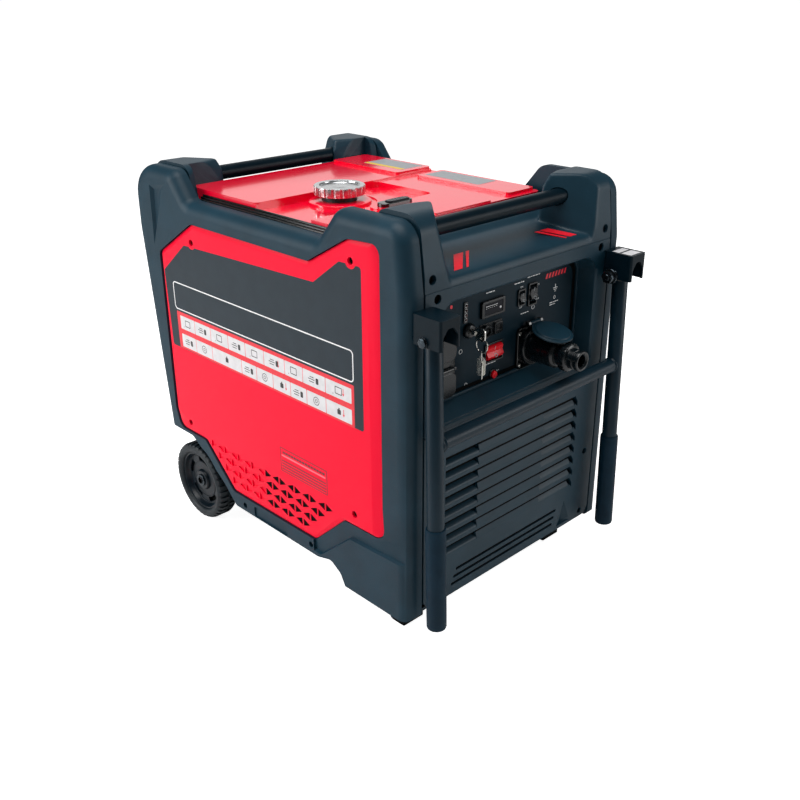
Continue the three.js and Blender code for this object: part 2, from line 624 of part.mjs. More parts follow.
// Filler cap: a knurled disc with a raised middle and a plug that reaches into the neck.
function fuelCap() {
  const seat = NECK_TOP + GAP;
  const profile = [
    [0, -10],
    [NECK_RADIUS - 3 - GAP, -10],
    [NECK_RADIUS - 3 - GAP, 0],
    [CAP_RADIUS - 2, 0],
    [CAP_RADIUS, 2],
    [CAP_RADIUS, CAP_HEIGHT - 6],
    [CAP_RADIUS - 4, CAP_HEIGHT - 2],
    [CAP_RADIUS - 18, CAP_HEIGHT - 2],
    [CAP_RADIUS - 20, CAP_HEIGHT],
    [0, CAP_HEIGHT],
  ];
  return turned("z", [CAP_X, CAP_Y, seat], profile, 28);
}
piece("fuel_cap", brightSteel, fuelCap());

// Control recess: a face with a tapering opening whose sill slopes up to the plate.
const PLATE_HALF = RECESS_HALF - RECESS_TAPER;
const PLATE_TOP = RECESS_TOP - 4;
function controlBezel() {
  const face = block(-PANEL_HALF, PANEL_HALF, FRONT, FRONT + SHELL, BEZEL_BOTTOM, PANEL_TOP);
  const [outerHalf, back] = [RECESS_HALF + SHELL, PLATE_Y - GAP];
  const tunnel = block(-outerHalf, outerHalf, FRONT, back, RECESS_SILL - SHELL, RECESS_TOP + SHELL);
  const opening = hull([-1, 1].flatMap((end) => [
    [end * RECESS_HALF, FRONT, RECESS_SILL],
    [end * RECESS_HALF, FRONT, RECESS_TOP],
    [end * RECESS_HALF, FRONT - 1, RECESS_SILL],
    [end * RECESS_HALF, FRONT - 1, RECESS_TOP],
    [end * PLATE_HALF, PLATE_Y, LEDGE_TOP],
    [end * PLATE_HALF, PLATE_Y, PLATE_TOP],
  ]));
  return cut(join(face, tunnel), opening);
}
piece("control_bezel", blackPlastic, controlBezel());

// Rockers: [name, x, z, width, height, material]. Each turns about its own round back, and
// rests with its upper half pressed in.
const LEFT = -RECESS_HALF;
const OUTLET_X = LEFT + 264;
const OUTLET_Z = LEDGE_TOP + 39;
const BREAKER_X = LEFT + 166.5;
const BREAKER_Z = LEDGE_TOP + 52.5;
const ROCKER_Z = RECESS_TOP - 49;
const ROCKERS = [
  ["engine_rocker", OUTLET_X - 29.5, ROCKER_Z, 14, 24, blackPlastic],
  ["idle_rocker", OUTLET_X, ROCKER_Z, 18, 35, blackPlastic],
  ["breaker_rocker", BREAKER_X, BREAKER_Z, 41, 29, redPlastic],
];
const rockerRadius = (height) => height / 2 - ROCKER_TURN_GAP;
const rockerPivotY = (height) => PLATE_Y - ROCKER_PROUD + rockerRadius(height);

function rocker(x, z, width, height) {
  const half = width / 2 - ROCKER_TURN_GAP;
  const centre = [rockerPivotY(height), z];
  const drum = rod("x", centre, rockerRadius(height), x - half, x + half, 28);
  const dish = PLATE_Y - ROCKER_PROUD * 0.45;
  const pivot = new THREE.Vector2(...centre);
  const notch = [[dish, z], [dish - height, z + 2.6 * height], [dish - height, z - 2.6 * height]]
    .map(([y, height]) => new THREE.Vector2(y, height).rotateAround(pivot, ROCKER_TILT).toArray());
  return cut(drum, prismX(outline(notch), x - width, x + width));
}

// The plate carries a raised surround for each rocker and for the reset button.
const RESET_X = BREAKER_X + 0.5;
const RESET_Z = LEDGE_TOP + 11;
const KEY_X = LEFT + 102;
const KEY_Z = RECESS_TOP - 74.5;
function controlPlate() {
  const back = PLATE_Y + PLATE_THICKNESS;
  const front = PLATE_Y - SURROUND;
  const edge = SHELL - GAP;
  const [low, high] = [LEDGE_TOP - edge, PLATE_TOP + edge];
  const plate = block(-PLATE_HALF - edge, PLATE_HALF + edge, PLATE_Y, back, low, high);
  const surrounds = ROCKERS.map(([, x, z, width, height]) => {
    const [w, h] = [width / 2 + SURROUND, height / 2 + SURROUND];
    return prismY(rectangle(x - w, x + w, z - h, z + h, 2), front, back);
  });
  const holes = ROCKERS.map(([, x, z, width, height]) => {
    const [w, h] = [width / 2, height / 2];
    return block(x - w, x + w, front - 1, back + 1, z - h, z + h);
  });
  const resetRing = rod("y", [RESET_X, RESET_Z], RESET_RADIUS + 3.5, front, back, 20);
  const resetHole = rod("y", [RESET_X, RESET_Z], RESET_RADIUS + GAP, front - 1, back + 1, 20);
  return cut(join(plate, ...surrounds, resetRing), ...holes, resetHole);
}
piece("control_plate", darkPlastic, controlPlate());
for (const [name, x, z, width, height, material] of ROCKERS)
  piece(name, material, rocker(x, z, width, height));
const resetFront = PLATE_Y - SURROUND - RESET_TRAVEL - 1;
const resetButton = rod("y", [RESET_X, RESET_Z], RESET_RADIUS, resetFront, PLATE_Y + 8, 20);
piece("reset_button", redPlastic, resetButton);

// Display, indicator lamps and the low-voltage sockets.
const DISPLAY_X = BREAKER_X - 7.5;
const DISPLAY_Z = RECESS_TOP - 48;
function display() {
  const around = (w, h) => [DISPLAY_X - w, DISPLAY_X + w, DISPLAY_Z - h, DISPLAY_Z + h];
  const body = prismY(rectangle(...around(29, 14.5), 3), SEAT - 5, SEAT);
  const [left, right, low, high] = around(23, 10);
  return cut(body, block(left, right, SEAT - 6, SEAT - 3.5, low, high));
}
piece("display", darkPlastic, display());

function indicatorStrip() {
  const x = KEY_X - 8.5;
  const low = RECESS_TOP - 60;
  const strip = prismY(rectangle(x - 4.5, x + 4.5, low, low + 36, 2), SEAT - 2, SEAT);
  const lamps = [6, 14, 22, 30].map((rise) => rod("y", [x, low + rise], 2.2, SEAT - 4.5, SEAT, 10));
  return join(strip, ...lamps);
}
piece("indicator_strip", darkPlastic, indicatorStrip());

// A round and a square socket on one strip.
function socketPair() {
  const [roundX, squareX, z] = [LEFT + 142, LEFT + 173, RECESS_TOP - 85.5];
  const strip = block(roundX - 14, squareX + 12, SEAT - 2, SEAT, z - 12.5, z + 12.5);
  const round = rod("y", [roundX, z], 11, SEAT - 8, SEAT, 24);
  const roundBore = rod("y", [roundX, z], 8, SEAT - 9, SEAT - 3, 24);
  const square = prismY(rectangle(squareX - 10, squareX + 10, z - 10, z + 10, 2), SEAT - 6, SEAT);
  const squareBore = block(squareX - 7, squareX + 7, SEAT - 7, SEAT - 3, z - 4.5, z + 4.5);
  return cut(join(strip, round, square), roundBore, squareBore);
}
piece("socket_pair", blackPlastic, socketPair());

// Key switch, its key, ring and tag. The key's round shank turns in the lock.
const EYE = WIRE + EYE_CLEARANCE;
const ringY = SEAT - 30;
const bowEyeZ = KEY_Z - 6;
piece("key_switch", darkPlastic, turned("y", [KEY_X, SEAT, KEY_Z], [
  [SHANK_RADIUS + GAP, 0],
  [SHANK_RADIUS + GAP, -8],
  [LOCK_RADIUS - 3, -8],
  [LOCK_RADIUS, -5],
  [LOCK_RADIUS, 0],
], 24));

function ignitionKey() {
  const shank = rod("y", [KEY_X, KEY_Z], SHANK_RADIUS, ringY + 12, SEAT - 1, 16);
  const bow = rectangle(ringY - 7, ringY + 15, KEY_Z - 11, KEY_Z + 11, 7);
  const eye = rod("x", [ringY, bowEyeZ], EYE, KEY_X - 3, KEY_X + 3, 12);
  return cut(join(shank, prismX(bow, KEY_X - 1.5, KEY_X + 1.5)), eye);
}

function keyRing() {
  const ring = new THREE.TorusGeometry(RING_RADIUS, WIRE, 6, 18);
  ring.rotateX(Math.PI / 2).translate(KEY_X, ringY, bowEyeZ - RING_RADIUS);
  return solid(ring);
}
piece("ignition_key", brightSteel, ignitionKey());
piece("key_ring", brightSteel, keyRing());

function keyTag() {
  const eyeZ = bowEyeZ - 2 * RING_RADIUS;
  const tag = rectangle(ringY - 9, ringY + 9, eyeZ - 27, eyeZ + 5, 8.5);
  const eye = rod("x", [ringY, eyeZ], EYE, KEY_X - 3, KEY_X + 3, 12);
  return cut(prismX(tag, KEY_X - 1, KEY_X + 1), eye);
}
piece("key_tag", brightSteel, keyTag());

// Two household outlets on one plate, each under a lid that lifts about its top edge.
const DUPLEX_X = LEFT + 42;
const DUPLEX_Z = [RECESS_TOP - 89, LEDGE_TOP + 29];
const duplexFace = SEAT - 5;
const lidHingeY = duplexFace - LID_HINGE - GAP;
const lidHingeZ = (z) => z + LID_HALF + LID_HINGE;
function duplexOutlet() {
  const [low, high] = [DUPLEX_Z[1] - LID_HALF - 3, lidHingeZ(DUPLEX_Z[0]) + LID_HINGE + 3];
  const [left, right] = [DUPLEX_X - LID_HALF - 3, DUPLEX_X + LID_HALF + 3];
  const plate = prismY(rectangle(left, right, low, high, 4), duplexFace, SEAT);
  const ears = DUPLEX_Z.flatMap((z) => [-1, 1].map((end) => {
    const x = DUPLEX_X + end * (LID_HALF - 2.5);
    const hinge = lidHingeZ(z);
    const ear = [x - 2.5, x + 2.5, lidHingeY - LID_HINGE, SEAT, hinge - LID_HINGE, hinge + LID_HINGE];
    return block(...ear);
  }));
  const slots = DUPLEX_Z.flatMap((z) => [-6, 6].map((dx) =>
    block(DUPLEX_X + dx - 1.2, DUPLEX_X + dx + 1.2, duplexFace - 1, SEAT - 1, z - 5, z + 5)));
  return cut(join(plate, ...ears), ...slots);
}
piece("duplex_outlet", blackPlastic, duplexOutlet());

// A lid hangs from its hinge barrel, which turns between the two ears.
function lid(x, hingeZ, half, barrelHalf, barrelRadius, hingeY) {
  const front = hingeY - LID_THICKNESS - 1 + barrelRadius;
  const barrel = rod("x", [hingeY, hingeZ], barrelRadius, x - barrelHalf, x + barrelHalf, 16);
  const neck = block(x - barrelHalf, x + barrelHalf, front, front + LID_THICKNESS, hingeZ - 8, hingeZ);
  const low = hingeZ - barrelRadius - 2 * half;
  const high = hingeZ - barrelRadius - 1;
  const cover = rectangle(x - half, x + half, low, high, 10);
  return join(prismY(cover, front, front + LID_THICKNESS), neck, barrel);
}
["upper", "lower"].forEach((place, i) => {
  const hinge = lidHingeZ(DUPLEX_Z[i]);
  const shape = lid(DUPLEX_X, hinge, LID_HALF, LID_HALF - 5 - GAP, LID_HINGE, lidHingeY);
  piece(place + "_outlet_lid", blackPlastic, shape);
});

// Main outlet with a locking plug in it. Its round flap rests on the plug.
const outletFace = SEAT - OUTLET_DEPTH;
const flapHingeY = outletFace - FLAP_HINGE - GAP;
const flapHingeZ = OUTLET_Z + OUTLET_HALF + FLAP_HINGE + 2;
function mainOutlet() {
  const [x, z, half] = [OUTLET_X, OUTLET_Z, OUTLET_HALF];
  const plate = prismY(rectangle(x - half, x + half, z - half, z + half, 6), outletFace, SEAT);
  const collarFront = outletFace - COLLAR_LENGTH;
  const collar = rod("y", [x, z], COLLAR_RADIUS, collarFront, SEAT, 32);
  const bore = rod("y", [x, z], PLUG_RADIUS + GAP, collarFront - 1, SEAT - 2, 32);
  const top = flapHingeZ + FLAP_HINGE;
  const ears = [-1, 1].map((end) => {
    const middle = x + end * EAR_HALF;
    return block(middle - 3, middle + 3, flapHingeY - FLAP_HINGE, SEAT, z + half - 6, top);
  });
  return cut(join(plate, collar, ...ears), bore);
}
piece("main_outlet", blackPlastic, mainOutlet());

// The plug body tapers to a threaded neck under the gland nut; both are open at the end.
const plugFoot = SEAT - 2 - GAP;
const plugFront = plugFoot - PLUG_LENGTH;
const nutFoot = plugFront - PLUG_NECK - GAP;
const nutFront = nutFoot - NUT_LENGTH;
piece("plug_body", blackPlastic, turned("y", [OUTLET_X, 0, OUTLET_Z], [
  [0, plugFront + 20],
  [GLAND_BORE, plugFront + 20],
  [GLAND_BORE, plugFront - PLUG_NECK],
  [PLUG_RADIUS - 7, plugFront - PLUG_NECK],
  [PLUG_RADIUS - 5, plugFront],
  [PLUG_RADIUS, plugFront + 6],
  [PLUG_RADIUS, plugFoot],
  [0, plugFoot],
], 24));
piece("plug_gland_nut", blackPlastic, turned("y", [OUTLET_X, 0, OUTLET_Z], [
  [GLAND_BORE, nutFoot],
  [GLAND_BORE, nutFront],
  [PLUG_RADIUS - 10, nutFront],
  [PLUG_RADIUS - 8, nutFront + 3],
  [PLUG_RADIUS - 8, nutFoot - 15],
  [PLUG_RADIUS - 1, nutFoot - 14],
  [PLUG_RADIUS - 1, nutFoot],
], 24));

// The flap lies at the slope at which the underside of its tip just clears the gland nut.
const flapReach = FLAP_HINGE + 2 * FLAP_RADIUS;
const flapDrop = flapHingeZ - FLAP_THICKNESS / 2 - GAP - (OUTLET_Z + PLUG_RADIUS - 1);
const flap = new THREE.Group();
flap.position.set(OUTLET_X, flapHingeY, flapHingeZ);
flap.rotation.x = Math.asin(flapDrop / flapReach);
generator.add(flap);
function outletFlap() {
  const half = FLAP_THICKNESS / 2;
  const centre = -FLAP_RADIUS - FLAP_HINGE;
  const disc = rod("z", [0, centre], FLAP_RADIUS, -half, half, 36);
  const dome = rod("z", [0, centre], FLAP_RADIUS - 6, half - 1, half + 3, 36);
  const neck = block(-9, 9, centre + FLAP_RADIUS - 12, 0, -half, half);
  const barrel = rod("x", [0, 0], FLAP_HINGE, -EAR_HALF + 3 + GAP, EAR_HALF - 3 - GAP, 16);
  return join(disc, dome, neck, barrel);
}
piece("outlet_flap", blackPlastic, outletFlap(), flap);

// Louvred cover below the recess.
function frontGrille() {
  const low = GRILLE_BOTTOM;
  const high = BEZEL_BOTTOM - GAP;
  const sheetBody = prismY(rectangle(-PANEL_HALF, PANEL_HALF, low, high, 3), FRONT, FRONT + SHELL);
  const slots = Array.from({ length: LOUVRES }, (_, i) => {
    const z = LOUVRE_TOP - i * LOUVRE_PITCH;
    return block(-LOUVRE_HALF, LOUVRE_HALF, FRONT - 1, FRONT + SHELL + 1, z - LOUVRE_HEIGHT, z);
  });
  const drains = Array.from({ length: DRAINS }, (_, i) => {
    const z = GRILLE_BOTTOM + DRAIN_LIFT + i * DRAIN_PITCH;
    const [left, right] = [23 - LOUVRE_HALF, LOUVRE_HALF - 50];
    return block(left, right, FRONT - 1, FRONT + SHELL + 1, z, z + DRAIN_HEIGHT);
  });
  return cut(sheetBody, ...slots, ...drains);
}
piece("front_grille", blackPlastic, frontGrille());

// Slanted rear cover with louvres and a hole for the tailpipe.
const REAR_LOW = REAR_SILL + PAN_INSET;
const REAR_COVER_INSET = 26;
const rearCoverLow = PAN_REAR + GAP + SHELL;
const rearCoverHigh = REAR - REAR_COVER_INSET;
const SILENCER_LOW = REAR_LOW + PAN_THICKNESS + GAP;
const TAILPIPE_Z = SILENCER_LOW + TAILPIPE_LIFT;
function rearCover() {
  const path = [[rearCoverHigh, PANEL_TOP], [rearCoverLow, REAR_LOW]];
  const sheetBody = prismX(sheet(path, SHELL), -PANEL_HALF, PANEL_HALF);
  const slots = Array.from({ length: LOUVRES }, (_, i) => {
    const z = REAR_LOW + 30 + i * LOUVRE_PITCH;
    const right = z > TAILPIPE_Z - 70 ? 50 : LOUVRE_HALF;
    return block(-LOUVRE_HALF, right, rearCoverLow - 20, REAR, z, z + LOUVRE_HEIGHT);
  });
  const hole = rod("y", [TAILPIPE_X, TAILPIPE_Z], TAILPIPE_RADIUS + 0.5, rearCoverLow - 20, REAR, 24);
  return cut(sheetBody, ...slots, hole);
}
piece("rear_cover", blackPlastic, rearCover());

// Feet and wheels.
const footTop = BOOT + PAN_INSET - GAP;
function foot(side) {
  const corner = (x, y) => [side * FOOT_X + x, FOOT_Y + y];
  const level = (half, z) => [[-half, -half], [half, -half], [half, half], [-half, half]]
    .map(([x, y]) => [...corner(x, y), z]);
  const half = FOOT_SIZE / 2;
  return hull([...level(half - 5, 0), ...level(half - 2, 3), ...level(half, footTop)]);
}
const AXLE_HALF = HALF - AXLE_INSET;
const axleLine = [WHEEL_Y, WHEEL_RADIUS];
function axle() {
  const ends = [-1, 1].map((end) =>
    rod("x", axleLine, AXLE_RADIUS + 5, end * (AXLE_HALF - WASHER), end * AXLE_HALF, 20));
  return join(rod("x", axleLine, AXLE_RADIUS, -AXLE_HALF, AXLE_HALF, 20), ...ends);
}
piece("axle", brightSteel, axle());

// Bracket: a web from the sloping pan down to the axle, with a foot along the pan.
function axleBracket(side) {
  const inside = HALF - WHEEL_WIDTH - 22;
  const slope = (REAR_SILL - SILL) / (PAN_LEVEL - PAN_RAMP);
  const panUnder = (y) => REAR_SILL + PAN_INSET - Math.max(PAN_LEVEL - y, 0) * slope - GAP * 1.3;
  const web = outline([
    [WHEEL_Y - 90, panUnder(WHEEL_Y - 90) - 6],
    [PAN_LEVEL, panUnder(PAN_LEVEL) - 3],
    [PAN_REAR - 12, panUnder(PAN_LEVEL) - 3],
    [WHEEL_Y + 20, WHEEL_RADIUS - 4, 14],
    [WHEEL_Y, WHEEL_RADIUS - 20, 12],
    [WHEEL_Y - 20, WHEEL_RADIUS - 4, 14],
  ]);
  const footPath = [
    [WHEEL_Y - 92, panUnder(WHEEL_Y - 92) - 2],
    [PAN_LEVEL, panUnder(PAN_LEVEL) - 2],
    [PAN_REAR - 10, panUnder(PAN_LEVEL) - 2],
  ];
  const plate = prismX(web, side * inside, side * (inside + 6));
  const flange = prismX(sheet(footPath, 4), side * (inside - 20), side * (inside + 6));
  const [from, to] = [side * (inside - 1), side * (inside + 7)];
  const bore = rod("x", axleLine, AXLE_RADIUS + AXLE_CLEARANCE, from, to, 20);
  return cut(join(plate, flange), bore);
}

function tyre() {
  const half = WHEEL_WIDTH / 2;
  const bead = RIM_RADIUS + GAP;
  return turned("x", [0, 0, 0], [
    [bead, 6 - half],
    [WHEEL_RADIUS - 16, -half],
    [WHEEL_RADIUS - 5, 3 - half],
    [WHEEL_RADIUS, 12 - half],
    [WHEEL_RADIUS, half - 12],
    [WHEEL_RADIUS - 5, half - 3],
    [WHEEL_RADIUS - 16, half],
    [bead, half - 6],
  ], 36);
}

function rim() {
  const half = WHEEL_WIDTH / 2 - 7;
  const hub = WHEEL_WIDTH / 2 - AXLE_INSET - WASHER - GAP;
  const bore = AXLE_RADIUS + AXLE_CLEARANCE;
  return turned("x", [0, 0, 0], [
    [bore, -hub],
    [22, -hub],
    [24, -2],
    [RIM_RADIUS - 8, -2],
    [RIM_RADIUS - 5, -half],
    [RIM_RADIUS, -half],
    [RIM_RADIUS, half],
    [RIM_RADIUS - 5, half],
    [RIM_RADIUS - 8, 6],
    [24, 6],
    [22, hub],
    [bore, hub],
  ], 28);
}

for (const [side, name] of SIDES) {
  piece("foot_" + name, rubber, foot(side));
  piece("axle_bracket_" + name, blackSteel, axleBracket(side));
  const wheel = new THREE.Group();
  wheel.position.set(side * WHEEL_X, WHEEL_Y, WHEEL_RADIUS);
  generator.add(wheel);
  piece("tyre_" + name, rubber, tyre(), wheel);
  piece("rim_" + name, blackPlastic, rim(), wheel);
}

// Pull handle: its arms hang from pivots in two channel brackets and swing up to the front.
const BRACKET_BACK = FRONT - GAP;
const BRACKET_FRONT = PIVOT_Y - BRACKET_REACH;
const BRACKET_TOP = PIVOT_Z + BRACKET_RISE;
const BRACKET_BOTTOM = PIVOT_Z - BRACKET_DROP;
function handleBracket(side) {
  const [x0, x1] = [ARM_X - BRACKET_WIDTH / 2, ARM_X + BRACKET_WIDTH / 2];
  const wall = BRACKET_WALL;
  const body = block(side * x0, side * x1, BRACKET_FRONT, BRACKET_BACK, BRACKET_BOTTOM, BRACKET_TOP);
  const inside = [BRACKET_FRONT + wall, BRACKET_BACK - wall, BRACKET_BOTTOM - 1, BRACKET_TOP - wall];
  const half = ARM_RADIUS + 1;
  const notch = outline([
    [side * ARM_X - half, BRACKET_BOTTOM - 1],
    [side * ARM_X + half, BRACKET_BOTTOM - 1],
    [side * ARM_X + half, PIVOT_Z + ARM_RADIUS + 1],
    [side * ARM_X, PIVOT_Z + ARM_RADIUS + 6],
    [side * ARM_X - half, PIVOT_Z + ARM_RADIUS + 1],
  ]);
  return cut(
    body,
    block(side * (x0 + wall), side * (x1 - wall), ...inside),
    prismY(notch, BRACKET_FRONT - 1, BRACKET_FRONT + wall + 1),
    rod("x", [PIVOT_Y, PIVOT_Z], BOLT_RADIUS + 0.4, side * (x0 - 1), side * (x1 + 1), 16),
  );
}

function pivotBolt(side) {
  const line = [PIVOT_Y, PIVOT_Z];
  const half = BRACKET_WIDTH / 2 + GAP;
  const [inside, outside] = [side * (ARM_X - half), side * (ARM_X + half)];
  const shank = rod("x", line, BOLT_RADIUS, inside - side, outside, 16);
  const head = rod("x", line, BOLT_RADIUS * 1.7, outside, outside + side * BOLT_HEAD, 6);
  const nut = rod("x", line, BOLT_RADIUS * 1.7, inside, inside - side * BOLT_HEAD, 6);
  return join(shank, head, nut);
}

const handle = new THREE.Group();
handle.position.set(0, PIVOT_Y, PIVOT_Z);
handle.rotation.x = -Math.asin(ARM_LEAN / ARM_LENGTH);
generator.add(handle);

// Drawn hanging straight down from the pivots, which lie on the handle's own X axis.
function handleArm(side) {
  const tube = rod("z", [side * ARM_X, 0], ARM_RADIUS, 4 - ARM_LENGTH, ARM_END, 28);
  const [from, to] = [side * (ARM_X - 20), side * (ARM_X + 20)];
  const pivotHole = rod("x", [0, 0], BOLT_RADIUS + AXLE_CLEARANCE, from, to, 16);
  return cut(tube, pivotHole);
}

function handleGrip(side) {
  const profile = [
    [0, -ARM_LENGTH],
    [GRIP_RADIUS - 2, -ARM_LENGTH],
    [GRIP_RADIUS, 2 - ARM_LENGTH],
    [GRIP_RADIUS, GRIP_LENGTH - 2 - ARM_LENGTH],
    [GRIP_RADIUS - 1, GRIP_LENGTH - ARM_LENGTH],
    [ARM_RADIUS + GAP, GRIP_LENGTH - ARM_LENGTH],
    [ARM_RADIUS + GAP, 4 - GAP - ARM_LENGTH],
    [0, 4 - GAP - ARM_LENGTH],
  ];
  return turned("z", [side * ARM_X, 0, 0], profile, 24);
}

function crossbar() {
  const across = rod("x", [0, -CROSSBAR_DROP], CROSSBAR_RADIUS, -ARM_X, ARM_X, 24);
  const arms = [-1, 1].map((end) =>
    rod("z", [end * ARM_X, 0], ARM_RADIUS + GAP, -CROSSBAR_DROP - 40, 40 - CROSSBAR_DROP, 28));
  return cut(across, ...arms).decompose().sort((a, b) => b.volume() - a.volume())[0];
}

for (const [side, name] of SIDES) {
  piece("handle_bracket_" + name, blackSteel, handleBracket(side));
  piece("pivot_bolt_" + name, brightSteel, pivotBolt(side));
  piece("arm_" + name, blackSteel, handleArm(side), handle);
  piece("grip_" + name, rubber, handleGrip(side), handle);
}
piece("crossbar", blackSteel, crossbar(), handle);

// Machinery on the pan: engine, alternator, inverter and silencer.
const panTop = SILL + PAN_INSET + PAN_THICKNESS + GAP;
const ENGINE_FRONT = -40;
const ENGINE_REAR = 135;
const statorFront = ENGINE_FRONT - 105;
const shaftLine = [0, SHAFT_Z];
function engineBlock() {
  const crankcase = block(-95, 95, ENGINE_FRONT, ENGINE_REAR, panTop, SHAFT_Z + 75);
  const engineTop = TANK_BOTTOM - 65;
  const cylinder = block(-60, 60, 0, 120, SHAFT_Z + 70, engineTop);
  const fins = [0, 1, 2, 3, 4, 5].map((i) => {
    const z = engineTop - 30 - i * 18;
    return block(-75, 75, -12, 130, z, z + 5);
  });
  const bore = rod("y", shaftLine, SHAFT_RADIUS + AXLE_CLEARANCE, ENGINE_FRONT - 1, ENGINE_REAR + 1, 20);
  return cut(join(crankcase, cylinder, ...fins), bore);
}
piece("engine_block", castAluminium, engineBlock());

function stator() {
  const ring = turned("y", [0, 0, SHAFT_Z], [
    [ROTOR_RADIUS + 1, statorFront],
    [STATOR_RADIUS, statorFront],
    [STATOR_RADIUS, ENGINE_FRONT - GAP],
    [ROTOR_RADIUS + 1, ENGINE_FRONT - GAP],
  ], 32);
  const foot = block(-60, 60, statorFront + 30, ENGINE_FRONT - GAP, panTop, SHAFT_Z - 70);
  return join(ring, foot);
}
piece("alternator_stator", copper, stator());

// The crankshaft carries the rotor inside the stator and a cooling fan in front of it.
const shaftFront = statorFront - 22;
piece("crankshaft", brightSteel, turned("y", [0, 0, SHAFT_Z], [
  [0, shaftFront],
  [SHAFT_RADIUS, shaftFront],
  [FAN_RADIUS, statorFront - 18],
  [FAN_RADIUS, statorFront - 10],
  [SHAFT_RADIUS, statorFront - 6],
  [SHAFT_RADIUS, statorFront + 8],
  [ROTOR_RADIUS, statorFront + 8],
  [ROTOR_RADIUS, ENGINE_FRONT - 8],
  [SHAFT_RADIUS, ENGINE_FRONT - 8],
  [SHAFT_RADIUS, ENGINE_REAR - 5],
  [0, ENGINE_REAR - 5],
], 24));

const inverterLow = BOOT + PAN_INSET + PAN_THICKNESS + GAP;
function inverterModule() {
  const [half, front, rear] = [INNER - 68, FRONT + 57, FRONT + 117];
  const high = inverterLow + INVERTER_HEIGHT;
  const body = block(-half, half, front, rear, inverterLow, high);
  const grooves = Array.from({ length: 12 }, (_, i) => {
    const x = 15 - half + i * 27;
    return block(x, x + 12, rear - 15, rear + 1, inverterLow + 20, high + 1);
  });
  return cut(body, ...grooves);
}
piece("inverter_module", castAluminium, inverterModule());

// Silencer on the rear of the pan, with its tailpipe through the rear cover.
const SILENCER_INSET = 98; // from each side frame
const SILENCER_CORNER = 25; // radius of its corners and its distance from the end of the pan
function muffler() {
  const half = INNER - SILENCER_INSET;
  const front = TOP_REAR - 42;
  const rear = PAN_REAR - SILENCER_CORNER;
  const high = SILENCER_LOW + SILENCER_HEIGHT;
  const can = prismZ(rectangle(-half, half, front, rear, SILENCER_CORNER), SILENCER_LOW, high);
  const pipeLine = [TAILPIPE_X, TAILPIPE_Z];
  const pipe = rod("y", pipeLine, TAILPIPE_RADIUS, rear - SILENCER_CORNER, REAR - 18, 24);
  const bore = rod("y", pipeLine, TAILPIPE_RADIUS - 2.5, rear - 3, REAR, 24);
  return cut(join(can, pipe), bore);
}
piece("muffler", castAluminium, muffler());

export default generator;
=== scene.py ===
import math

import bmesh
import bpy
from mathutils import Matrix, Vector


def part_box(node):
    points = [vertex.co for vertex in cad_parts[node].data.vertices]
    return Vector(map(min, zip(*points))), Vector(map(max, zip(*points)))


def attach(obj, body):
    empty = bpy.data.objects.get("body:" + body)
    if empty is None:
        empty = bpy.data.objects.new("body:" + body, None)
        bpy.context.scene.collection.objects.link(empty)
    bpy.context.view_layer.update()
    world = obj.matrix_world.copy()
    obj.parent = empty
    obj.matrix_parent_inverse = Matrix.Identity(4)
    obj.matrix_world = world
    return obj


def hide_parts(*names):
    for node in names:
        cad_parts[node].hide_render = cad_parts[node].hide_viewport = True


bl_info = {
    "name": "Portable Generator",
    "version": (1, 0, 0),
    "blender": (4, 5, 0),
    "location": "View3D > Sidebar > Generator",
    "description": "Dresses the frame of a portable inverter generator with its visible pieces",
    "category": "Add Mesh",
}

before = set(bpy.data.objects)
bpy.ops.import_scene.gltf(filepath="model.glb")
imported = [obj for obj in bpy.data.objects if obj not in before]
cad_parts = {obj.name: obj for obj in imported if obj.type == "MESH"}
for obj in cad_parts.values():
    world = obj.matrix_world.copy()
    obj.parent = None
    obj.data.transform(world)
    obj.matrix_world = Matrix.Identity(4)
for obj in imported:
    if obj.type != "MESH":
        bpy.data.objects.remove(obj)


# ---- Sizes that come from the frame, in millimetres ------------------------


def span(node):
    """Lowest and highest corner of a node of the frame, in millimetres."""
    low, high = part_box(node)
    return low * 1000, high * 1000


FRAME_LOW, FRAME_HIGH = span("side_frame_right")
INNER, HALF = FRAME_LOW.x, FRAME_HIGH.x
FRONT, REAR = FRAME_LOW.y, FRAME_HIGH.y
BOOT, EAR_TOP = FRAME_LOW.z, FRAME_HIGH.z
COVER_LOW = span("side_cover_right")[0]
RAIL_LOW, RAIL_HIGH = span("top_rail_right")
VALLEY = RAIL_HIGH.z - 4
TOP_LOW, TOP_HIGH = span("top_cover")
TOP_HALF, TOP_FRONT, TOP_REAR, TOP_Z = TOP_HIGH.x, TOP_LOW.y, TOP_HIGH.y, VALLEY + 13
BEZEL_LOW, BEZEL_HIGH = span("control_bezel")
PANEL_HALF, PANEL_TOP, BEZEL_BOTTOM = BEZEL_HIGH.x, BEZEL_HIGH.z, BEZEL_LOW.z
PLATE_Y = span("control_plate")[1].y - 3
GRILLE_LOW, GRILLE_HIGH = span("front_grille")
REAR_COVER_LOW, REAR_COVER_HIGH = span("rear_cover")
CAP_LOW, CAP_HIGH = span("fuel_cap")
CAP = (CAP_LOW + CAP_HIGH) / 2
CAP_RADIUS = (CAP_HIGH.x - CAP_LOW.x) / 2
FRONT_BAR_LOW, FRONT_BAR_HIGH = span("front_lift_bar")
FRONT_BAR = (FRONT_BAR_LOW + FRONT_BAR_HIGH) / 2
REAR_BAR = sum(span("rear_lift_bar"), Vector()) / 2
BAR_RADIUS = (FRONT_BAR_HIGH.z - FRONT_BAR_LOW.z) / 2
BAR_HALF = FRONT_BAR_HIGH.x
TYRE_LOW, TYRE_HIGH = span("tyre_right")
WHEEL = (TYRE_LOW + TYRE_HIGH) / 2
WHEEL_RADIUS = (TYRE_HIGH.z - TYRE_LOW.z) / 2
WHEEL_HALF = (TYRE_HIGH.x - TYRE_LOW.x) / 2
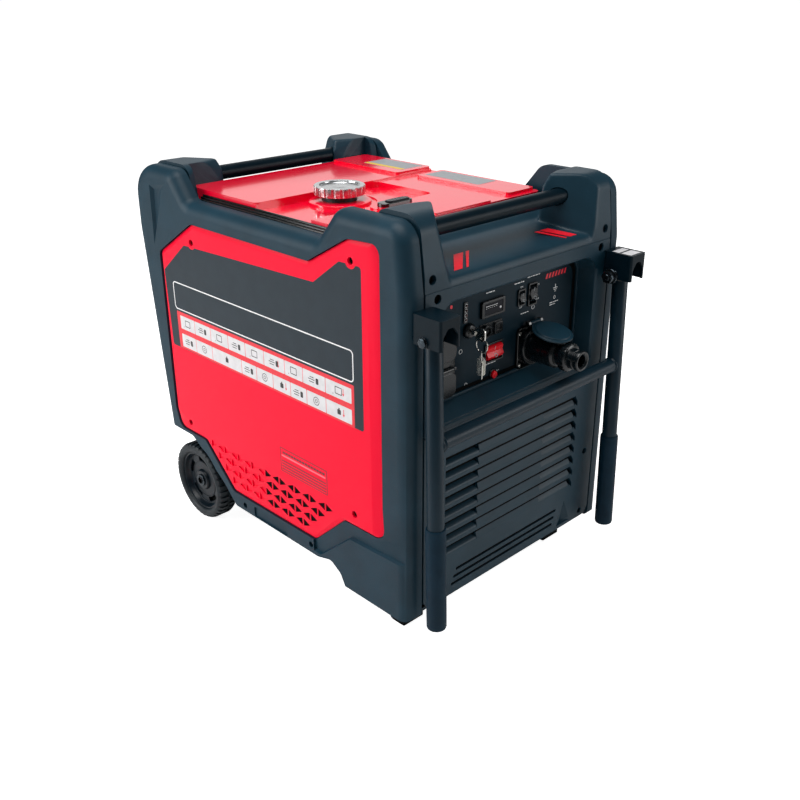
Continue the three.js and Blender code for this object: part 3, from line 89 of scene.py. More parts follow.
BOLT = sum(span("pivot_bolt_right"), Vector()) / 2
GRIP_LOW, GRIP_HIGH = span("grip_right")
ARM_X = (GRIP_LOW.x + GRIP_HIGH.x) / 2
BRACKET_LOW, BRACKET_HIGH = span("handle_bracket_right")
SIDES = ((-1, "left"), (1, "right"))
FIT = 0.3  # clearance between neighbours
SEAT = PLATE_Y - FIT  # where the bezel ends in front of the control plate
COVER_FACE = HALF - FIT  # outer face of a red side cover
PRINT_BACK, PRINT_FACE = PLATE_Y + 0.2, PLATE_Y - 0.08  # print on the control panel


def hex_to_linear(code):
    """Linear colour of an sRGB hex value."""
    values = [int(code[i:i + 2], 16) / 255 for i in (0, 2, 4)]
    return tuple(v / 12.92 if v <= 0.04045 else ((v + 0.055) / 1.055) ** 2.4 for v in values)


# ---- Settings that a user would change ------------------------------------


def colour(name, code, description):
    return bpy.props.FloatVectorProperty(
        name=name, description=description, default=hex_to_linear(code),
        subtype="COLOR", size=3, min=0.0, max=1.0)


def length(name, default, description):
    return bpy.props.FloatProperty(
        name=name, description=description, default=default / 1000,
        min=0.0, subtype="DISTANCE", unit="LENGTH")


class GeneratorColours(bpy.types.PropertyGroup):
    housing: colour("Housing", "0a2c3a", "Moulded black plastic of frames and panels")
    covers: colour("Covers", "f00430", "Red plastic of the side and top covers")
    label: colour("Label", "1f2b33", "Dark vinyl of the side labels")
    print_white: colour("Print", "e9eaea", "White print on labels and panel")
    coated_steel: colour("Coated steel", "051f2b", "Powder-coated tubes and brackets")
    plate: colour("Control plate", "031c27", "Film on the control plate")
    switches: colour("Switches", "e00a1e", "Red rocker and reset button")
    rubber: colour("Rubber", "05141b", "Rubber of the tyres")


class GeneratorSizes(bpy.types.PropertyGroup):
    edge: length("Edge rounding", 1.2, "Rounding of moulded edges")
    frame_rounding: length("Frame rounding", 24, "Rounding along the outer edge of a side frame")
    louvre_depth: length("Louvre depth", 9, "How far the louvres lean into the front grille")
    joint: length("Joint", 3.6, "Shadow gap between a side frame and the panels")
    print_depth: length("Print thickness", 0.2, "Thickness of labels and print")
    lugs: bpy.props.IntProperty(
        name="Tread lugs", description="Lugs around a tyre", default=38, min=12, max=90)


def sizes():
    return bpy.context.scene.generator_sizes


def colours():
    return bpy.context.scene.generator_colours


def edge_width():
    return sizes().edge * 1000


def panel_half():
    """Half width of the panels between the side frames, inside their shadow gaps."""
    return PANEL_HALF - sizes().joint * 1000


# ---- Modelling helpers, drawn in millimetres -------------------------------


def place(axis, u, v, w):
    """A point from two coordinates on a plane and its height across that plane."""
    return {"x": (w, u, v), "y": (u, w, v), "z": (u, v, w)}[axis]


def outline_face(axis, corners, at, steps=8):
    """A flat face through corners (u, v, radius), each corner rounded with its radius."""
    bm = bmesh.new()
    verts = [bm.verts.new(place(axis, c[0], c[1], at)) for c in corners]
    bm.faces.new(verts)
    flat = [Vector(c[:2]) for c in corners]
    for i, corner in enumerate(corners):
        if len(corner) > 2 and corner[2]:
            before = flat[i - 1] - flat[i]
            after = flat[(i + 1) % len(flat)] - flat[i]
            offset = corner[2] / math.tan(before.angle(after) / 2)
            bmesh.ops.bevel(bm, geom=[verts[i]], offset=offset, segments=steps,
                            profile=0.5, affect="VERTICES", material=-1)
    return bm


def push(bm, faces, axis, distance):
    """Extrude faces along an axis."""
    made = bmesh.ops.extrude_face_region(bm, geom=faces)["geom"]
    verts = [g for g in made if isinstance(g, bmesh.types.BMVert)]
    bmesh.ops.translate(bm, verts=verts, vec=place(axis, 0, 0, distance))
    return [g for g in made if isinstance(g, bmesh.types.BMFace)]


def slab(axis, corners, start, end, rounding=0, steps=6):
    """A plate with an outline drawn across an axis; its edge at the end may be rounded."""
    sign = 1 if end > start else -1
    bm = outline_face(axis, corners, start)
    face = push(bm, bm.faces[:], axis, end - start - sign * rounding)
    if rounding:
        for k in range(steps):
            before, after = (math.pi / 2 * (k + j) / steps for j in (0, 1))
            inset = rounding * (math.cos(before) - math.cos(after))
            bmesh.ops.inset_region(bm, faces=face, thickness=inset, use_even_offset=True)
            rise = sign * rounding * (math.sin(after) - math.sin(before))
            verts = list({v for f in face for v in f.verts})
            bmesh.ops.translate(bm, verts=verts, vec=place(axis, 0, 0, rise))
    return tidy(bm)


def tidy(bm):
    """Join doubled points and point every face outwards."""
    bmesh.ops.remove_doubles(bm, verts=bm.verts, dist=0.002)
    bmesh.ops.recalc_face_normals(bm, faces=bm.faces)
    return bm


def rectangle(u0, u1, v0, v1, radius=0):
    """Outline of a rectangle, its corners rounded with a radius."""
    return [(u0, v0, radius), (u1, v0, radius), (u1, v1, radius), (u0, v1, radius)]


def block(x0, x1, y0, y1, z0, z1):
    return slab("z", rectangle(x0, x1, y0, y1), z0, z1)


def turned(axis, centre, profile, steps=64, angle=math.tau):
    """A body turned about an axis through a point, from (radius, height) points."""
    bm = bmesh.new()
    middle = Vector(centre)
    closed = profile[0][0] > 0
    verts = [bm.verts.new(middle + Vector(place(axis, r, 0, h))) for r, h in profile]
    ends = verts + verts[:1] if closed else verts
    edges = [bm.edges.new(pair) for pair in zip(ends, ends[1:])]
    bmesh.ops.spin(bm, geom=verts + edges, cent=middle, axis=place(axis, 0, 0, 1),
                   angle=angle, steps=steps, use_merge=angle == math.tau)
    return tidy(bm)


def rod(axis, uv, radius, start, end, steps=48, edge=0.6):
    """A round bar along an axis with slightly rounded ends."""
    low, high = sorted((start, end))
    centre = place(axis, uv[0], uv[1], 0)
    return turned(axis, centre, [
        (0, low), (radius - edge, low), (radius, low + edge),
        (radius, high - edge), (radius - edge, high), (0, high)], steps)


def hexagon(u, v, radius):
    """Outline of a nut or bolt head."""
    return [(u + radius * math.cos(math.radians(a)), v + radius * math.sin(math.radians(a)))
            for a in range(0, 360, 60)]


def hull(points):
    """The convex body around points."""
    bm = bmesh.new()
    verts = [bm.verts.new(p) for p in points]
    made = bmesh.ops.convex_hull(bm, input=verts)
    spare = {g for g in made["geom_interior"] + made["geom_unused"] if g.is_valid}
    bmesh.ops.delete(bm, geom=[g for g in spare if isinstance(g, bmesh.types.BMVert)],
                     context="VERTS")
    bmesh.ops.dissolve_limit(bm, angle_limit=math.radians(2), verts=bm.verts, edges=bm.edges)
    return tidy(bm)


def soften(bm, width, segments=3, angle=25):
    """Round every edge that is sharper than the angle."""
    bm.normal_update()
    sharp = [e for e in bm.edges
             if e.is_manifold and e.calc_face_angle(0) > math.radians(angle)]
    bmesh.ops.bevel(bm, geom=sharp, offset=width, segments=segments, profile=0.5,
                    affect="EDGES", clamp_overlap=True, material=-1)
    return tidy(bm)


def merge(bm, *others):
    """Put other bodies into the same mesh, as they are."""
    for other in others:
        mesh = bpy.data.meshes.new("part")
        other.to_mesh(mesh)
        other.free()
        bm.from_mesh(mesh)
        bpy.data.meshes.remove(mesh)
    return bm


def linked(name, data):
    """A new object of the scene."""
    made = bpy.data.objects.new(name, data)
    bpy.context.scene.collection.objects.link(made)
    return made


def as_object(bm, name="part"):
    """A body as an object; the body itself stays as it is."""
    mesh = bpy.data.meshes.new(name)
    bm.to_mesh(mesh)
    return linked(name, mesh)


def evaluated(bm, target, *spare):
    """The body that an object's modifiers make; the objects go afterwards."""
    bpy.context.view_layer.update()
    result = target.evaluated_get(bpy.context.evaluated_depsgraph_get())
    mesh = bpy.data.meshes.new_from_object(result)
    bm.clear()
    bm.from_mesh(mesh)
    bpy.data.meshes.remove(mesh)
    for made in (target, *spare):
        used = made.data
        bpy.data.objects.remove(made)
        bpy.data.meshes.remove(used)
    return tidy(bm)


def combined(operation, bm, others, solver="EXACT"):
    """One body from a boolean with others."""
    tool = bmesh.new()
    merge(tool, *others)
    target, cutter = as_object(bm), as_object(tool)
    tool.free()
    step = target.modifiers.new("boolean", "BOOLEAN")
    step.operation = operation
    step.solver = solver
    step.use_self = len(others) > 1
    step.object = cutter
    return evaluated(bm, target, cutter)


def melted(bm, cell, passes):
    """A body rebuilt from small cells and smoothed, so that all its edges turn soft."""
    target = as_object(bm)
    cells = target.modifiers.new("cells", "REMESH")
    cells.mode = "VOXEL"
    cells.voxel_size = cell
    soft = target.modifiers.new("soft", "SMOOTH")
    soft.factor, soft.iterations = 0.5, passes
    return evaluated(bm, target)


def carve(bm, *cutters):
    return combined("DIFFERENCE", bm, cutters)


def fuse(bm, *others):
    return combined("UNION", bm, others)


def keep_inside(bm, *others):
    return combined("INTERSECT", bm, others)


def mirrored(bm, side):
    """The same body on the side that is asked for: -1 left, 1 right."""
    if side < 0:
        bmesh.ops.scale(bm, vec=(-1, 1, 1), verts=bm.verts)
        bmesh.ops.reverse_faces(bm, faces=bm.faces)
    return bm


def both_sides(bm):
    """A body and its mirror image in one mesh."""
    return merge(bm, mirrored(bm.copy(), -1))


def around(bm, axis, centre, count, start=0.0, angle=math.tau):
    """Copies of a body, turned about an axis through a point."""
    whole = bmesh.new()
    for k in range(count):
        copy = bm.copy()
        step = Matrix.Rotation(start + angle * k / count, 3, Vector(place(axis, 0, 0, 1)))
        bmesh.ops.rotate(copy, cent=centre, matrix=step, verts=copy.verts)
        merge(whole, copy)
    bm.free()
    return whole


def turn(bm, axis, centre, degrees):
    """Turn a body about an axis through a point."""
    spin = Matrix.Rotation(math.radians(degrees), 3, Vector(place(axis, 0, 0, 1)))
    bmesh.ops.rotate(bm, cent=centre, matrix=spin, verts=bm.verts)
    return bm


def finished(bm, name, material, body, stands_for=(), edge=0.0, segments=2, smooth=38):
    """Make a body drawn in millimetres into a piece of the scene, riding on a CAD body."""
    bmesh.ops.scale(bm, vec=(0.001,) * 3, verts=bm.verts)
    made = as_object(bm, name)
    bm.free()
    made.data.shade_smooth()
    made.data.set_sharp_from_angle(angle=math.radians(smooth))
    made.data.materials.append(material)
    if edge:
        bevel = made.modifiers.new("Rounded edges", "BEVEL")
        bevel.width = edge / 1000
        bevel.segments = segments
        bevel.limit_method = "ANGLE"
        bevel.angle_limit = math.radians(smooth)
        bevel.harden_normals = False
        weighted = made.modifiers.new("Even shading", "WEIGHTED_NORMAL")
        weighted.keep_sharp = True
    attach(made, body)
    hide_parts(*stands_for)
    return made


def printed(bm, name, material):
    """A label or print on the housing."""
    return finished(bm, name, material, "housing")


def shade_piece(bm, name):
    """A piece in the matt black of painted shade, for the holes, gaps and recesses of the housing.
    """
    return finished(bm, name, shade_black(), "housing")


# ---- Materials -------------------------------------------------------------


def add_node(tree, kind, inputs=None, **settings):
    """Add a node: settings are its own values, and an input is a value or a link."""
    made = tree.nodes.new(kind)
    for name, value in settings.items():
        setattr(made, name, value)
    for name, value in (inputs or {}).items():
        if isinstance(value, bpy.types.NodeSocket):
            tree.links.new(value, made.inputs[name])
        else:
            made.inputs[name].default_value = value
    return made


def per_metre(size):
    """Scale of a texture whose details are this many millimetres apart."""
    return 1000 / size


def surface(name, base, roughness, grain, bump, mottle=0.06, patch=60, spread=0.07,
            detail=3.0, stretch=(1, 1, 1), **shader):
    """A material with a fine surface grain, and colour and gloss that vary a little.

    base is a linear colour or an sRGB hex value. grain is the distance between grains and
    patch the size of its soft blotches, in millimetres. bump is the depth of the grain, and
    mottle and spread say how far colour and roughness stray.
    """
    if name in bpy.data.materials:
        return bpy.data.materials[name]
    if isinstance(base, str):
        base = hex_to_linear(base)
    made = bpy.data.materials.new(name)
    made.use_nodes = True
    tree = made.node_tree
    principled = tree.nodes["Principled BSDF"]
    place_at = add_node(tree, "ShaderNodeTexCoord").outputs["Object"]
    stretched = add_node(tree, "ShaderNodeMapping", {"Vector": place_at, "Scale": stretch})
    grains = add_node(tree, "ShaderNodeTexNoise", {
        "Vector": stretched.outputs["Vector"], "Scale": per_metre(grain), "Detail": detail})
    blotches = add_node(tree, "ShaderNodeTexNoise", {
        "Vector": place_at, "Scale": per_metre(patch), "Detail": 2.0})
    darker = tuple(c * (1 - mottle) for c in base)
    lighter = tuple(min(1, c * (1 + mottle) + mottle * 0.01) for c in base)
    ramp = add_node(tree, "ShaderNodeValToRGB", {"Fac": blotches.outputs["Fac"]})
    for stop, at, shade in zip(ramp.color_ramp.elements, (0.35, 0.65), (darker, lighter)):
        stop.position, stop.color = at, (*shade, 1)
    gloss = add_node(tree, "ShaderNodeMapRange", {
        "Value": grains.outputs["Fac"], "From Min": 0.3, "From Max": 0.7,
        "To Min": max(0.02, roughness - spread), "To Max": min(1, roughness + spread)})
    relief = add_node(tree, "ShaderNodeBump", {
        "Height": grains.outputs["Fac"], "Strength": 1.0, "Distance": bump / 1000})
    tree.links.new(ramp.outputs["Color"], principled.inputs["Base Color"])
    tree.links.new(gloss.outputs["Result"], principled.inputs["Roughness"])
    tree.links.new(relief.outputs["Normal"], principled.inputs["Normal"])
    for key, value in shader.items():
        principled.inputs[key.replace("_", " ")].default_value = value
    return made


def textured_abs():
    # Spark-eroded ABS moulding: fine grain that breaks up a soft, slightly blue sheen.
    return surface("Textured black ABS", colours().housing, 0.50, 1.3, 0.012, 0.10,
                   Specular_IOR_Level=0.24)


def smooth_abs():
    # Finer grained ABS of the panels and covers, a little glossier than the frames.
    return surface("Satin black ABS", colours().housing, 0.44, 0.9, 0.008, 0.08,
                   Specular_IOR_Level=0.32)


def red_abs():
    # Polished red ABS: saturated, with soft broad highlights and a trace of orange peel.
    return surface("Polished red ABS", colours().covers, 0.36, 6.0, 0.004, 0.03, 180, 0.02,
                   Specular_IOR_Level=0.1)


def gloss_red_abs():
    # The same red, high-gloss on the top cover: it mirrors the cap and the bars softly.
    return surface("High-gloss red ABS", colours().covers, 0.17, 8.0, 0.004, 0.03, 180, 0.02,
                   Coat_Weight=0.5, Coat_Roughness=0.08)


def black_oxide():
    # Blackened steel of the axle ends.
    return surface("Black oxide steel", "3a4248", 0.26, 1.5, 0.01, 0.15, 9,
                   0.08, Metallic=0.95)


def gloss_black():
    # Gloss-moulded polycarbonate strips that mirror the room.
    return surface("Glossy black polycarbonate", "07090a", 0.12, 6.0, 0.003,
                   0.05, 50, 0.02, Coat_Weight=0.4, Coat_Roughness=0.05)


def label_vinyl():
    # Matt laminated vinyl film, nearly flat, with a faint print mottle.
    return surface("Matt label vinyl", colours().label, 0.42, 1.0, 0.003, 0.05, 30, 0.04,
                   Specular_IOR_Level=0.2)


def ink(name, base, roughness=0.45, bump=0.01, patch=8, spread=0.05):
    """Printed ink: thin, even and matt, with the grain of a fine screen."""
    return surface(name, base, roughness, 0.8, bump, 0.05, patch, spread)


def white_ink():
    # Screen-printed white ink, slightly uneven in its cover.
    return ink("White screen print", colours().print_white)


def label_paper():
    # Pale grey field of a printed label.
    return ink("Pale label print", "d3d2d4", 0.50, 0.004, 12)


def red_ink():
    # Screen-printed red ink on dark film and plastic.
    return ink("Red screen print", "e0142a", 0.40)


def grey_ink():
    # Grey printed panel of a label.
    return ink("Grey screen print", "8d9295", patch=10)


def yellow_ink():
    # Yellow printed line of a label.
    return ink("Yellow screen print", "d9b022")


def dark_ink():
    # Black print on white fields.
    return ink("Black screen print", "17191b")


def pale_red_ink():
    # Pale tint of the cover's red, printed as a bar.
    return ink("Pale red print", "ff6f80", bump=0.005, patch=10, spread=0.04)


def dark_red_ink():
    # Dark red tampon print, thin lines on the red cover.
    return ink("Dark red print", "4a0010", bump=0.005, patch=10, spread=0.04)


def coated_steel():
    # Black powder coat: low orange peel over tube, satin highlights along it.
    return surface("Powder-coated steel", colours().coated_steel, 0.40, 2.6, 0.012, 0.08, 40,
                   0.05, Specular_IOR_Level=0.24)


def shaded_powder_coat():
    # The black powder coat made darker for the brackets and lift bars, as painted shade; satin
    # along its folds.
    return surface("Shaded powder-coated steel", "01131c", 0.36, 2.6, 0.012, 0.08, 40,
                   0.05, Specular_IOR_Level=0.12)


def dark_film():
    # Printed polyester film on the control plate, smooth and slightly glossy.
    return surface("Matt printed film", colours().plate, 0.42, 1.0, 0.003, 0.06, 40, 0.04,
                   Specular_IOR_Level=0.12)


def dull_black():
    # Moulded nylon of sockets, lids and plugs: blacker than the housing, with a narrow sheen.
    return surface("Black nylon", "01090e", 0.24, 0.9, 0.006, 0.10, 20,
                   Specular_IOR_Level=0.45)


def shade_black():
    # Matt near-black of painted shade, put into holes, slots, gaps and sockets where the light
    # does not reach.
    return surface("Painted shade black", "020303", 0.9, 2.0, 0.02, 0.05, 30, 0.04,
                   Specular_IOR_Level=0.1)


def red_switch():
    # Glossy red thermoplastic of rockers and buttons.
    return surface("Red switch thermoplastic", colours().switches, 0.25, 3.0, 0.01, 0.04, 15,
                   0.03, Specular_IOR_Level=0.35)


def tyre_rubber():
    # Vulcanised rubber: blue-black, with a coarse dull grain and dusty patches.
    return surface("Vulcanised rubber", colours().rubber, 0.5, 1.6, 0.03, 0.20, 25, 0.08,
                   Specular_IOR_Level=0.35)


def foot_rubber():
    # Hard black rubber of the feet: dull, without a highlight under the housing.
    return surface("Hard black rubber", "020708", 0.7, 1.6, 0.03, 0.20, 25,
                   0.08, Specular_IOR_Level=0.1)


def grip_rubber():
    # Soft rubber sleeve with a fine matt skin.
    return surface("Soft grip rubber", "082433", 0.55, 1.0, 0.02, 0.10, 30,
                   Specular_IOR_Level=0.12)


def rim_nylon():
    # Glass-filled nylon wheel centre: black and semi-matt, with fine fibres in its skin.
    return surface("Glass-filled nylon", "021019", 0.33, 1.1, 0.010, 0.12, 18,
                   Specular_IOR_Level=0.28)


def zinc_steel():
    # Zinc-plated steel of bolts, axle and screws: cool, mottled and semi-bright.
    return surface("Zinc-plated steel", "a9adb0", 0.32, 1.5, 0.01, 0.15, 9,
                   0.10, Metallic=1.0)


def turned_alloy():
    # Machined and polished aluminium of the filler cap, with a silvery turned lustre.
    return surface("Machined aluminium", "d3d5d6", 0.24, 0.7, 0.006, 0.08, 20,
                   0.07, Metallic=1.0)


def key_steel():
    # Nickel-plated key, ring and tags.
    return surface("Nickel plate", "c9c8c2", 0.22, 1.2, 0.005, 0.10, 6,
                   0.06, Metallic=1.0)


def lamp_lens():
    # Small moulded lens of an indicator lamp: glossy and unlit.
    return surface("Smoked lamp lens", "3a2323", 0.12, 2.0, 0.002, 0.05, 5, 0.02)


def display_glass():
    # Smoked polycarbonate window: dark with a faint blue cast, and smooth.
    return surface("Smoked window", "050a16", 0.12, 8.0, 0.002, 0.05, 25, 0.02,
                   Specular_IOR_Level=0.12)


def tank_plastic():
    # Rotomoulded polyethylene with a waxy, slightly pebbled skin.
    return surface("Rotomoulded polyethylene", "26292b", 0.55, 3.0, 0.10, 0.10)


def cast_alloy():
    # Sand-cast aluminium: light grey, dull and grainy.
    return surface("Cast aluminium", "9a9c9d", 0.52, 1.4, 0.10, 0.12, 30, 0.08,
                   Metallic=0.9)


def winding_copper():
    # Enamelled copper windings, wire by wire.
    return surface("Enamelled copper", "a4592b", 0.36, 0.8, 0.15, 0.15, 10,
                   0.08, stretch=(1, 0.1, 1), Metallic=0.9)


def exhaust_steel():
    # Aluminised exhaust steel, heat-tinted and dull.
    return surface("Aluminised exhaust steel", "7d7a75", 0.42, 1.5, 0.02, 0.20, 14,
                   0.10, Metallic=1.0)


# ---- Side frames and red side covers ---------------------------------------

BELOW, ABOVE = -60, EAR_TOP + 160  # past the housing, where cutting bodies end
SILL = BOOT + 28  # lower edge between the boot and the wheel arch
REAR_SILL = SILL + 107  # and behind the wheel
BOOT_REAR = FRONT + 160
COVER_SEAT = HALF - 14  # floor of the pocket that a red cover lies in
COVER_SCREWS = ((227.7, 611.6), (-218.7, 667.9), (294.6, 222), (-212.7, 221.1))


def frame_outline():
    return [
        (FRONT, BELOW), (FRONT, PANEL_TOP, 60), (FRONT + 13, EAR_TOP, 36),
        (FRONT + 164, EAR_TOP, 28), (FRONT + 212, VALLEY, 14), (REAR - 183, VALLEY, 16),
        (REAR - 141, EAR_TOP - 5, 28), (REAR - 2, EAR_TOP - 5, 62),
        (REAR, PANEL_TOP - 20, 40), (REAR - 40, REAR_SILL), (REAR - 62, BELOW)]


def frame_underside():
    return [
        (FRONT, BOOT, 12), (BOOT_REAR, BOOT), (BOOT_REAR + 12, SILL - 6, 10),
        (BOOT_REAR + 38, SILL + 10, 14), (BOOT_REAR + 74, SILL, 10),
        (WHEEL.y - 142, SILL, 12), (WHEEL.y - 104, SILL + 37, 30),
        (WHEEL.y - 26, REAR_SILL - 15, 20), (WHEEL.y, REAR_SILL, 8),
        (REAR + 20, REAR_SILL), (REAR + 20, ABOVE), (FRONT, ABOVE)]


def cover_outline(grow):
    """The red cover's outline, grown or shrunk by a width."""
    front, rear, top, low = COVER_LOW.y, REAR, VALLEY - 38, SILL + 32
    shoulder = REAR_SILL + 5
    return [
        (front - grow, shoulder - 1 - grow, 24), (front - grow, VALLEY + 20 + grow, 18),
        (FRONT + 131 + grow * 0.5, VALLEY + 16 + grow, 30),
        (FRONT + 228 + grow * 0.3, top + grow, 10),
        (rear - 196 + grow * 0.5, top + grow, 20),
        (rear - 78 + grow, top - 72 + grow * 0.5, 14),
        (rear - 75 + grow, shoulder + 42, 14),
        (rear - 87 + grow * 0.5, shoulder + 2 - grow, 20),
        (WHEEL.y - 48 + grow * 0.3, shoulder + 2 - grow, 10),
        (WHEEL.y - 137 + grow * 0.5, low - 1 - grow, 16),
        (BOOT_REAR + 83 - grow * 0.5, low + 1 - grow, 16),
        (BOOT_REAR - grow * 0.5, shoulder - 3 - grow, 10)]


def side_frame(side, name):
    """One side moulding, with the cover's pocket, a dent at the rear and a stepped boot."""
    rounding = sizes().frame_rounding * 1000
    bm = slab("x", frame_outline(), INNER, HALF, rounding, 9)
    bm = keep_inside(bm, slab("x", frame_underside(), INNER - 5, HALF + 5))
    arch = rod("x", (WHEEL.y, WHEEL.z), WHEEL_RADIUS + 12, INNER - 5, HALF + 5, 96)
    handhold = slab("x", rectangle(-16, 88, 88, 110, 4), HALF - 3, HALF + 5)
    holes = [rod("x", at, 6, COVER_SEAT, HALF + 5, 24) for at in ((118.8, 99), (-87.9, 103))]
    pocket = slab("x", cover_outline(0.9), COVER_SEAT, HALF + 5)
    window = slab("x", cover_outline(-14), INNER - 5, HALF)
    bm = carve(bm, pocket, window, arch, handhold, *holes)
    dent = hull([(HALF + 1, 357, 702), (HALF + 1, 304, 706), (HALF + 1, 361, 578),
                 (HALF - 6, 350, 692), (HALF - 6, 328, 694), (HALF - 5, 354, 618)])
    shoulder = [hull([(HALF + 1, u, v) for u, v in edge] + [
        (HALF - 5.5, u, v + 4) for u, v in edge] + [(HALF + 1, u, v + 110) for u, v in edge])
        for edge in (((-352, 171), (-199, 164)), ((-199, 164), (-116, 93), (-96, 93)))]
    boot = slab("x", [(FRONT, BOOT, 12), (BOOT_REAR, BOOT), (BOOT_REAR + 14, SILL - 6),
                      (BOOT_REAR + 60, SILL + 8), (-199, 164, 14), (FRONT, 170, 6)],
                INNER, HALF, 10, 6)
    boot = keep_inside(boot, slab("x", frame_underside(), INNER - 5, HALF + 5))
    bm = fuse(carve(carve(bm, dent), *shoulder), boot)
    finished(mirrored(bm, side), "frame_moulding_" + name, textured_abs(), "housing",
             ["side_frame_" + name], edge_width() * 1.3)


VENT_FRONT_EDGE, VENT_STEP, VENT_ROWS = 42.5, 22.3, 19.7


def vent(row, column):
    """A sideways triangle of the vent field; the last of each row points to the front."""
    low = SILL + 49 + row * VENT_ROWS
    near = VENT_FRONT_EDGE - column * VENT_STEP
    far, middle = near - 19, low + 8
    if (row + column) % 2 == 0:
        near, far = far, near
    return [(near, low, 1), (near, low + 16, 1), (far, middle, 1)]


def cover_vents():
    """Triangles shown open in front, as shallow pockets with a sheet of painted shade, and blind
    ones behind, as (outline, painted_opening) pairs.
    """
    return [(vent(row, column), column >= 0) for row in range(4)
            for column in range(-5 - row, 6 + row)]


def side_cover(side, name):
    """One red cover with a sloping edge, its vents and the seats of its screws."""
    face, slope_depth, slope_width = COVER_FACE, 4.5, 9
    bm = slab("x", cover_outline(0), COVER_SEAT + FIT, face - slope_depth)
    lid = [f for f in bm.faces if min(v.co.x for v in f.verts) > face - slope_depth - 0.1]
    bmesh.ops.inset_region(bm, faces=lid, thickness=slope_width, use_even_offset=True)
    bmesh.ops.translate(bm, verts=list({v for f in lid for v in f.verts}),
                        vec=(slope_depth, 0, 0))
    front = COVER_LOW.y
    band = hull([(x, y, z) for z in (100, 760) for x, y in (
        (face, front + 27), (face + 9, front + 27), (face + 9, front - 20),
        (face - 15, front - 20))])
    bm = carve(bm, band)
    holes = [slab("x", outline, face - (2.2 if painted_opening else 2.6), HALF + 5)
             for outline, painted_opening in cover_vents()]
    seats = [rod("x", at, 6.3, face - 6, HALF + 5, 32) for at in COVER_SCREWS]
    bm = carve(bm, *holes, *seats)
    finished(mirrored(bm, side), "red_side_cover_" + name, red_abs(), "housing",
             ["side_cover_" + name], 0.9)
    # Black sheets just under the face of the open vents: painted shade, so that each whole
    # triangle looks dark.
    shade_sheet = merge(bmesh.new(), *[slab("x", outline, face - 2.1, face - 1.1)
                                  for outline, painted_opening in cover_vents() if painted_opening])
    shade_piece(mirrored(shade_sheet, side), "vent_shade_sheet_" + name)


def raised(axis, corners, at, depth, side=1):
    """A thin printed patch standing on a face at this height."""
    return mirrored(slab(axis, corners, at, at + depth), side)


def cover_labels(side, name):
    """Label field, printed boxes and their plain figures on one side cover."""
    layer = sizes().print_depth * 1000 * 0.11  # they are stacked up to seven deep
    on_label = COVER_FACE + 3 * layer
    on_strip, on_cell = on_label + 1.5 * layer, on_label + 3 * layer
    field = slab("x", [(-242, 388, 5), (328, 386, 5), (333, 540, 5), (254, 602, 5),
                       (-127, 615, 6), (-192, 662, 6), (-243, 663, 6)], COVER_FACE, on_label)
    lobes = [rod("x", at, 12.5, COVER_FACE - 2, COVER_FACE + 2, 48) for at in COVER_SCREWS[:2]]
    printed(mirrored(carve(field, *lobes), side), "side_label_" + name, label_vinyl())
    band = outline_band([(-220, 467, 8), (307, 467, 8), (307, 523, 8), (-220, 523, 8)], 2.2)
    printed(raised_band("x", band, on_label, 2 * layer, side), "label_outline_" + name,
            white_ink())
    strip = [(-220, 387, 2), (303, 387, 2), (303, 463, 2), (-220, 463, 2)]
    printed(raised("x", strip, on_label, 1.5 * layer, side), "label_strip_" + name, red_ink())
    cells, marks, accents = bmesh.new(), bmesh.new(), bmesh.new()
    for row, (low, high, edges) in enumerate((
            (391, 418, (-214, -148, -97, -52, -2, 47, 93, 188, 243, 293)),
            (428.5, 455.5, (-214, -148, -88, -38, 22, 78, 132, 189, 243, 293)))):
        for k, (left, right) in enumerate(zip(edges, edges[1:])):
            cell = rectangle(left + 0.6, right - 0.6, low, high, 1.5)
            merge(cells, raised("x", cell, on_strip, 1.5 * layer, side))
            u, v = (left + right) / 2, (low + high) / 2
            for shape in cell_marks((k * (2 + row) + row) % 6, u, v):
                merge(marks, raised("x", shape, on_cell, layer, side))
            if k in (0, 3):
                merge(accents, raised("x", arrow(u - 12, v), on_cell, layer, side))
    printed(cells, "label_cells_" + name, label_paper())
    printed(marks, "label_marks_" + name, dark_ink())
    printed(accents, "label_accents_" + name, red_ink())


def arrow(u, v):
    """Outline of a small arrow pointing down."""
    return [(u - 0.8, v + 7), (u - 0.8, v - 2), (u - 2.6, v - 2), (u, v - 7), (u + 2.6, v - 2),
            (u + 0.8, v - 2), (u + 0.8, v + 7)]


def box_lines(u, v, half_width, half_height, line=1.5):
    """Four thin bars round a small box, as outlines."""
    return [rectangle(u - half_width, u + half_width, v + s * half_height - line / 2,
                      v + s * half_height + line / 2) for s in (-1, 1)] + [
        rectangle(u + s * half_width - line / 2, u + s * half_width + line / 2,
                  v - half_height, v + half_height) for s in (-1, 1)]


def ring_lines(u, v, radius, line=1.6, count=14):
    """A thin ring drawn with short strokes, as outlines."""
    strokes = []
    for k in range(count):
        start, end = math.tau * k / count, math.tau * (k + 0.8) / count
        strokes.append([(u + r * math.cos(a), v + r * math.sin(a)) for a, r in (
            (start, radius), (end, radius), (end, radius - line), (start, radius - line))])
    return strokes


def cell_marks(kind, u, v):
    """Plain thin line figures of one label cell, as outlines."""
    dot = rectangle(u + 13, u + 14.5, v - 9, v - 7.5)
    figures = (
        (rectangle(u - 5, u + 4, v - 5, v + 4, 1.5), rectangle(u - 2, u + 1, v + 3, v + 7, 1)),
        (*box_lines(u, v, 8, 6), dot),
        (*ring_lines(u, v, 8), *ring_lines(u, v, 3.5, 1.4, 10)),
        (*ring_lines(u - 2, v, 6.5), rectangle(u + 6, u + 15, v - 0.8, v + 0.8)),
        (rectangle(u - 12, u - 5, v - 6, v + 5, 2), rectangle(u - 2, u + 15, v - 1, v + 0.5),
         rectangle(u, u + 13, v - 5.5, v - 4), rectangle(u, u + 11, v + 3, v + 4.5)),
        (*box_lines(u + 4, v, 5, 7), rectangle(u - 13, u - 4, v - 0.8, v + 0.8), dot))
    return figures[kind]


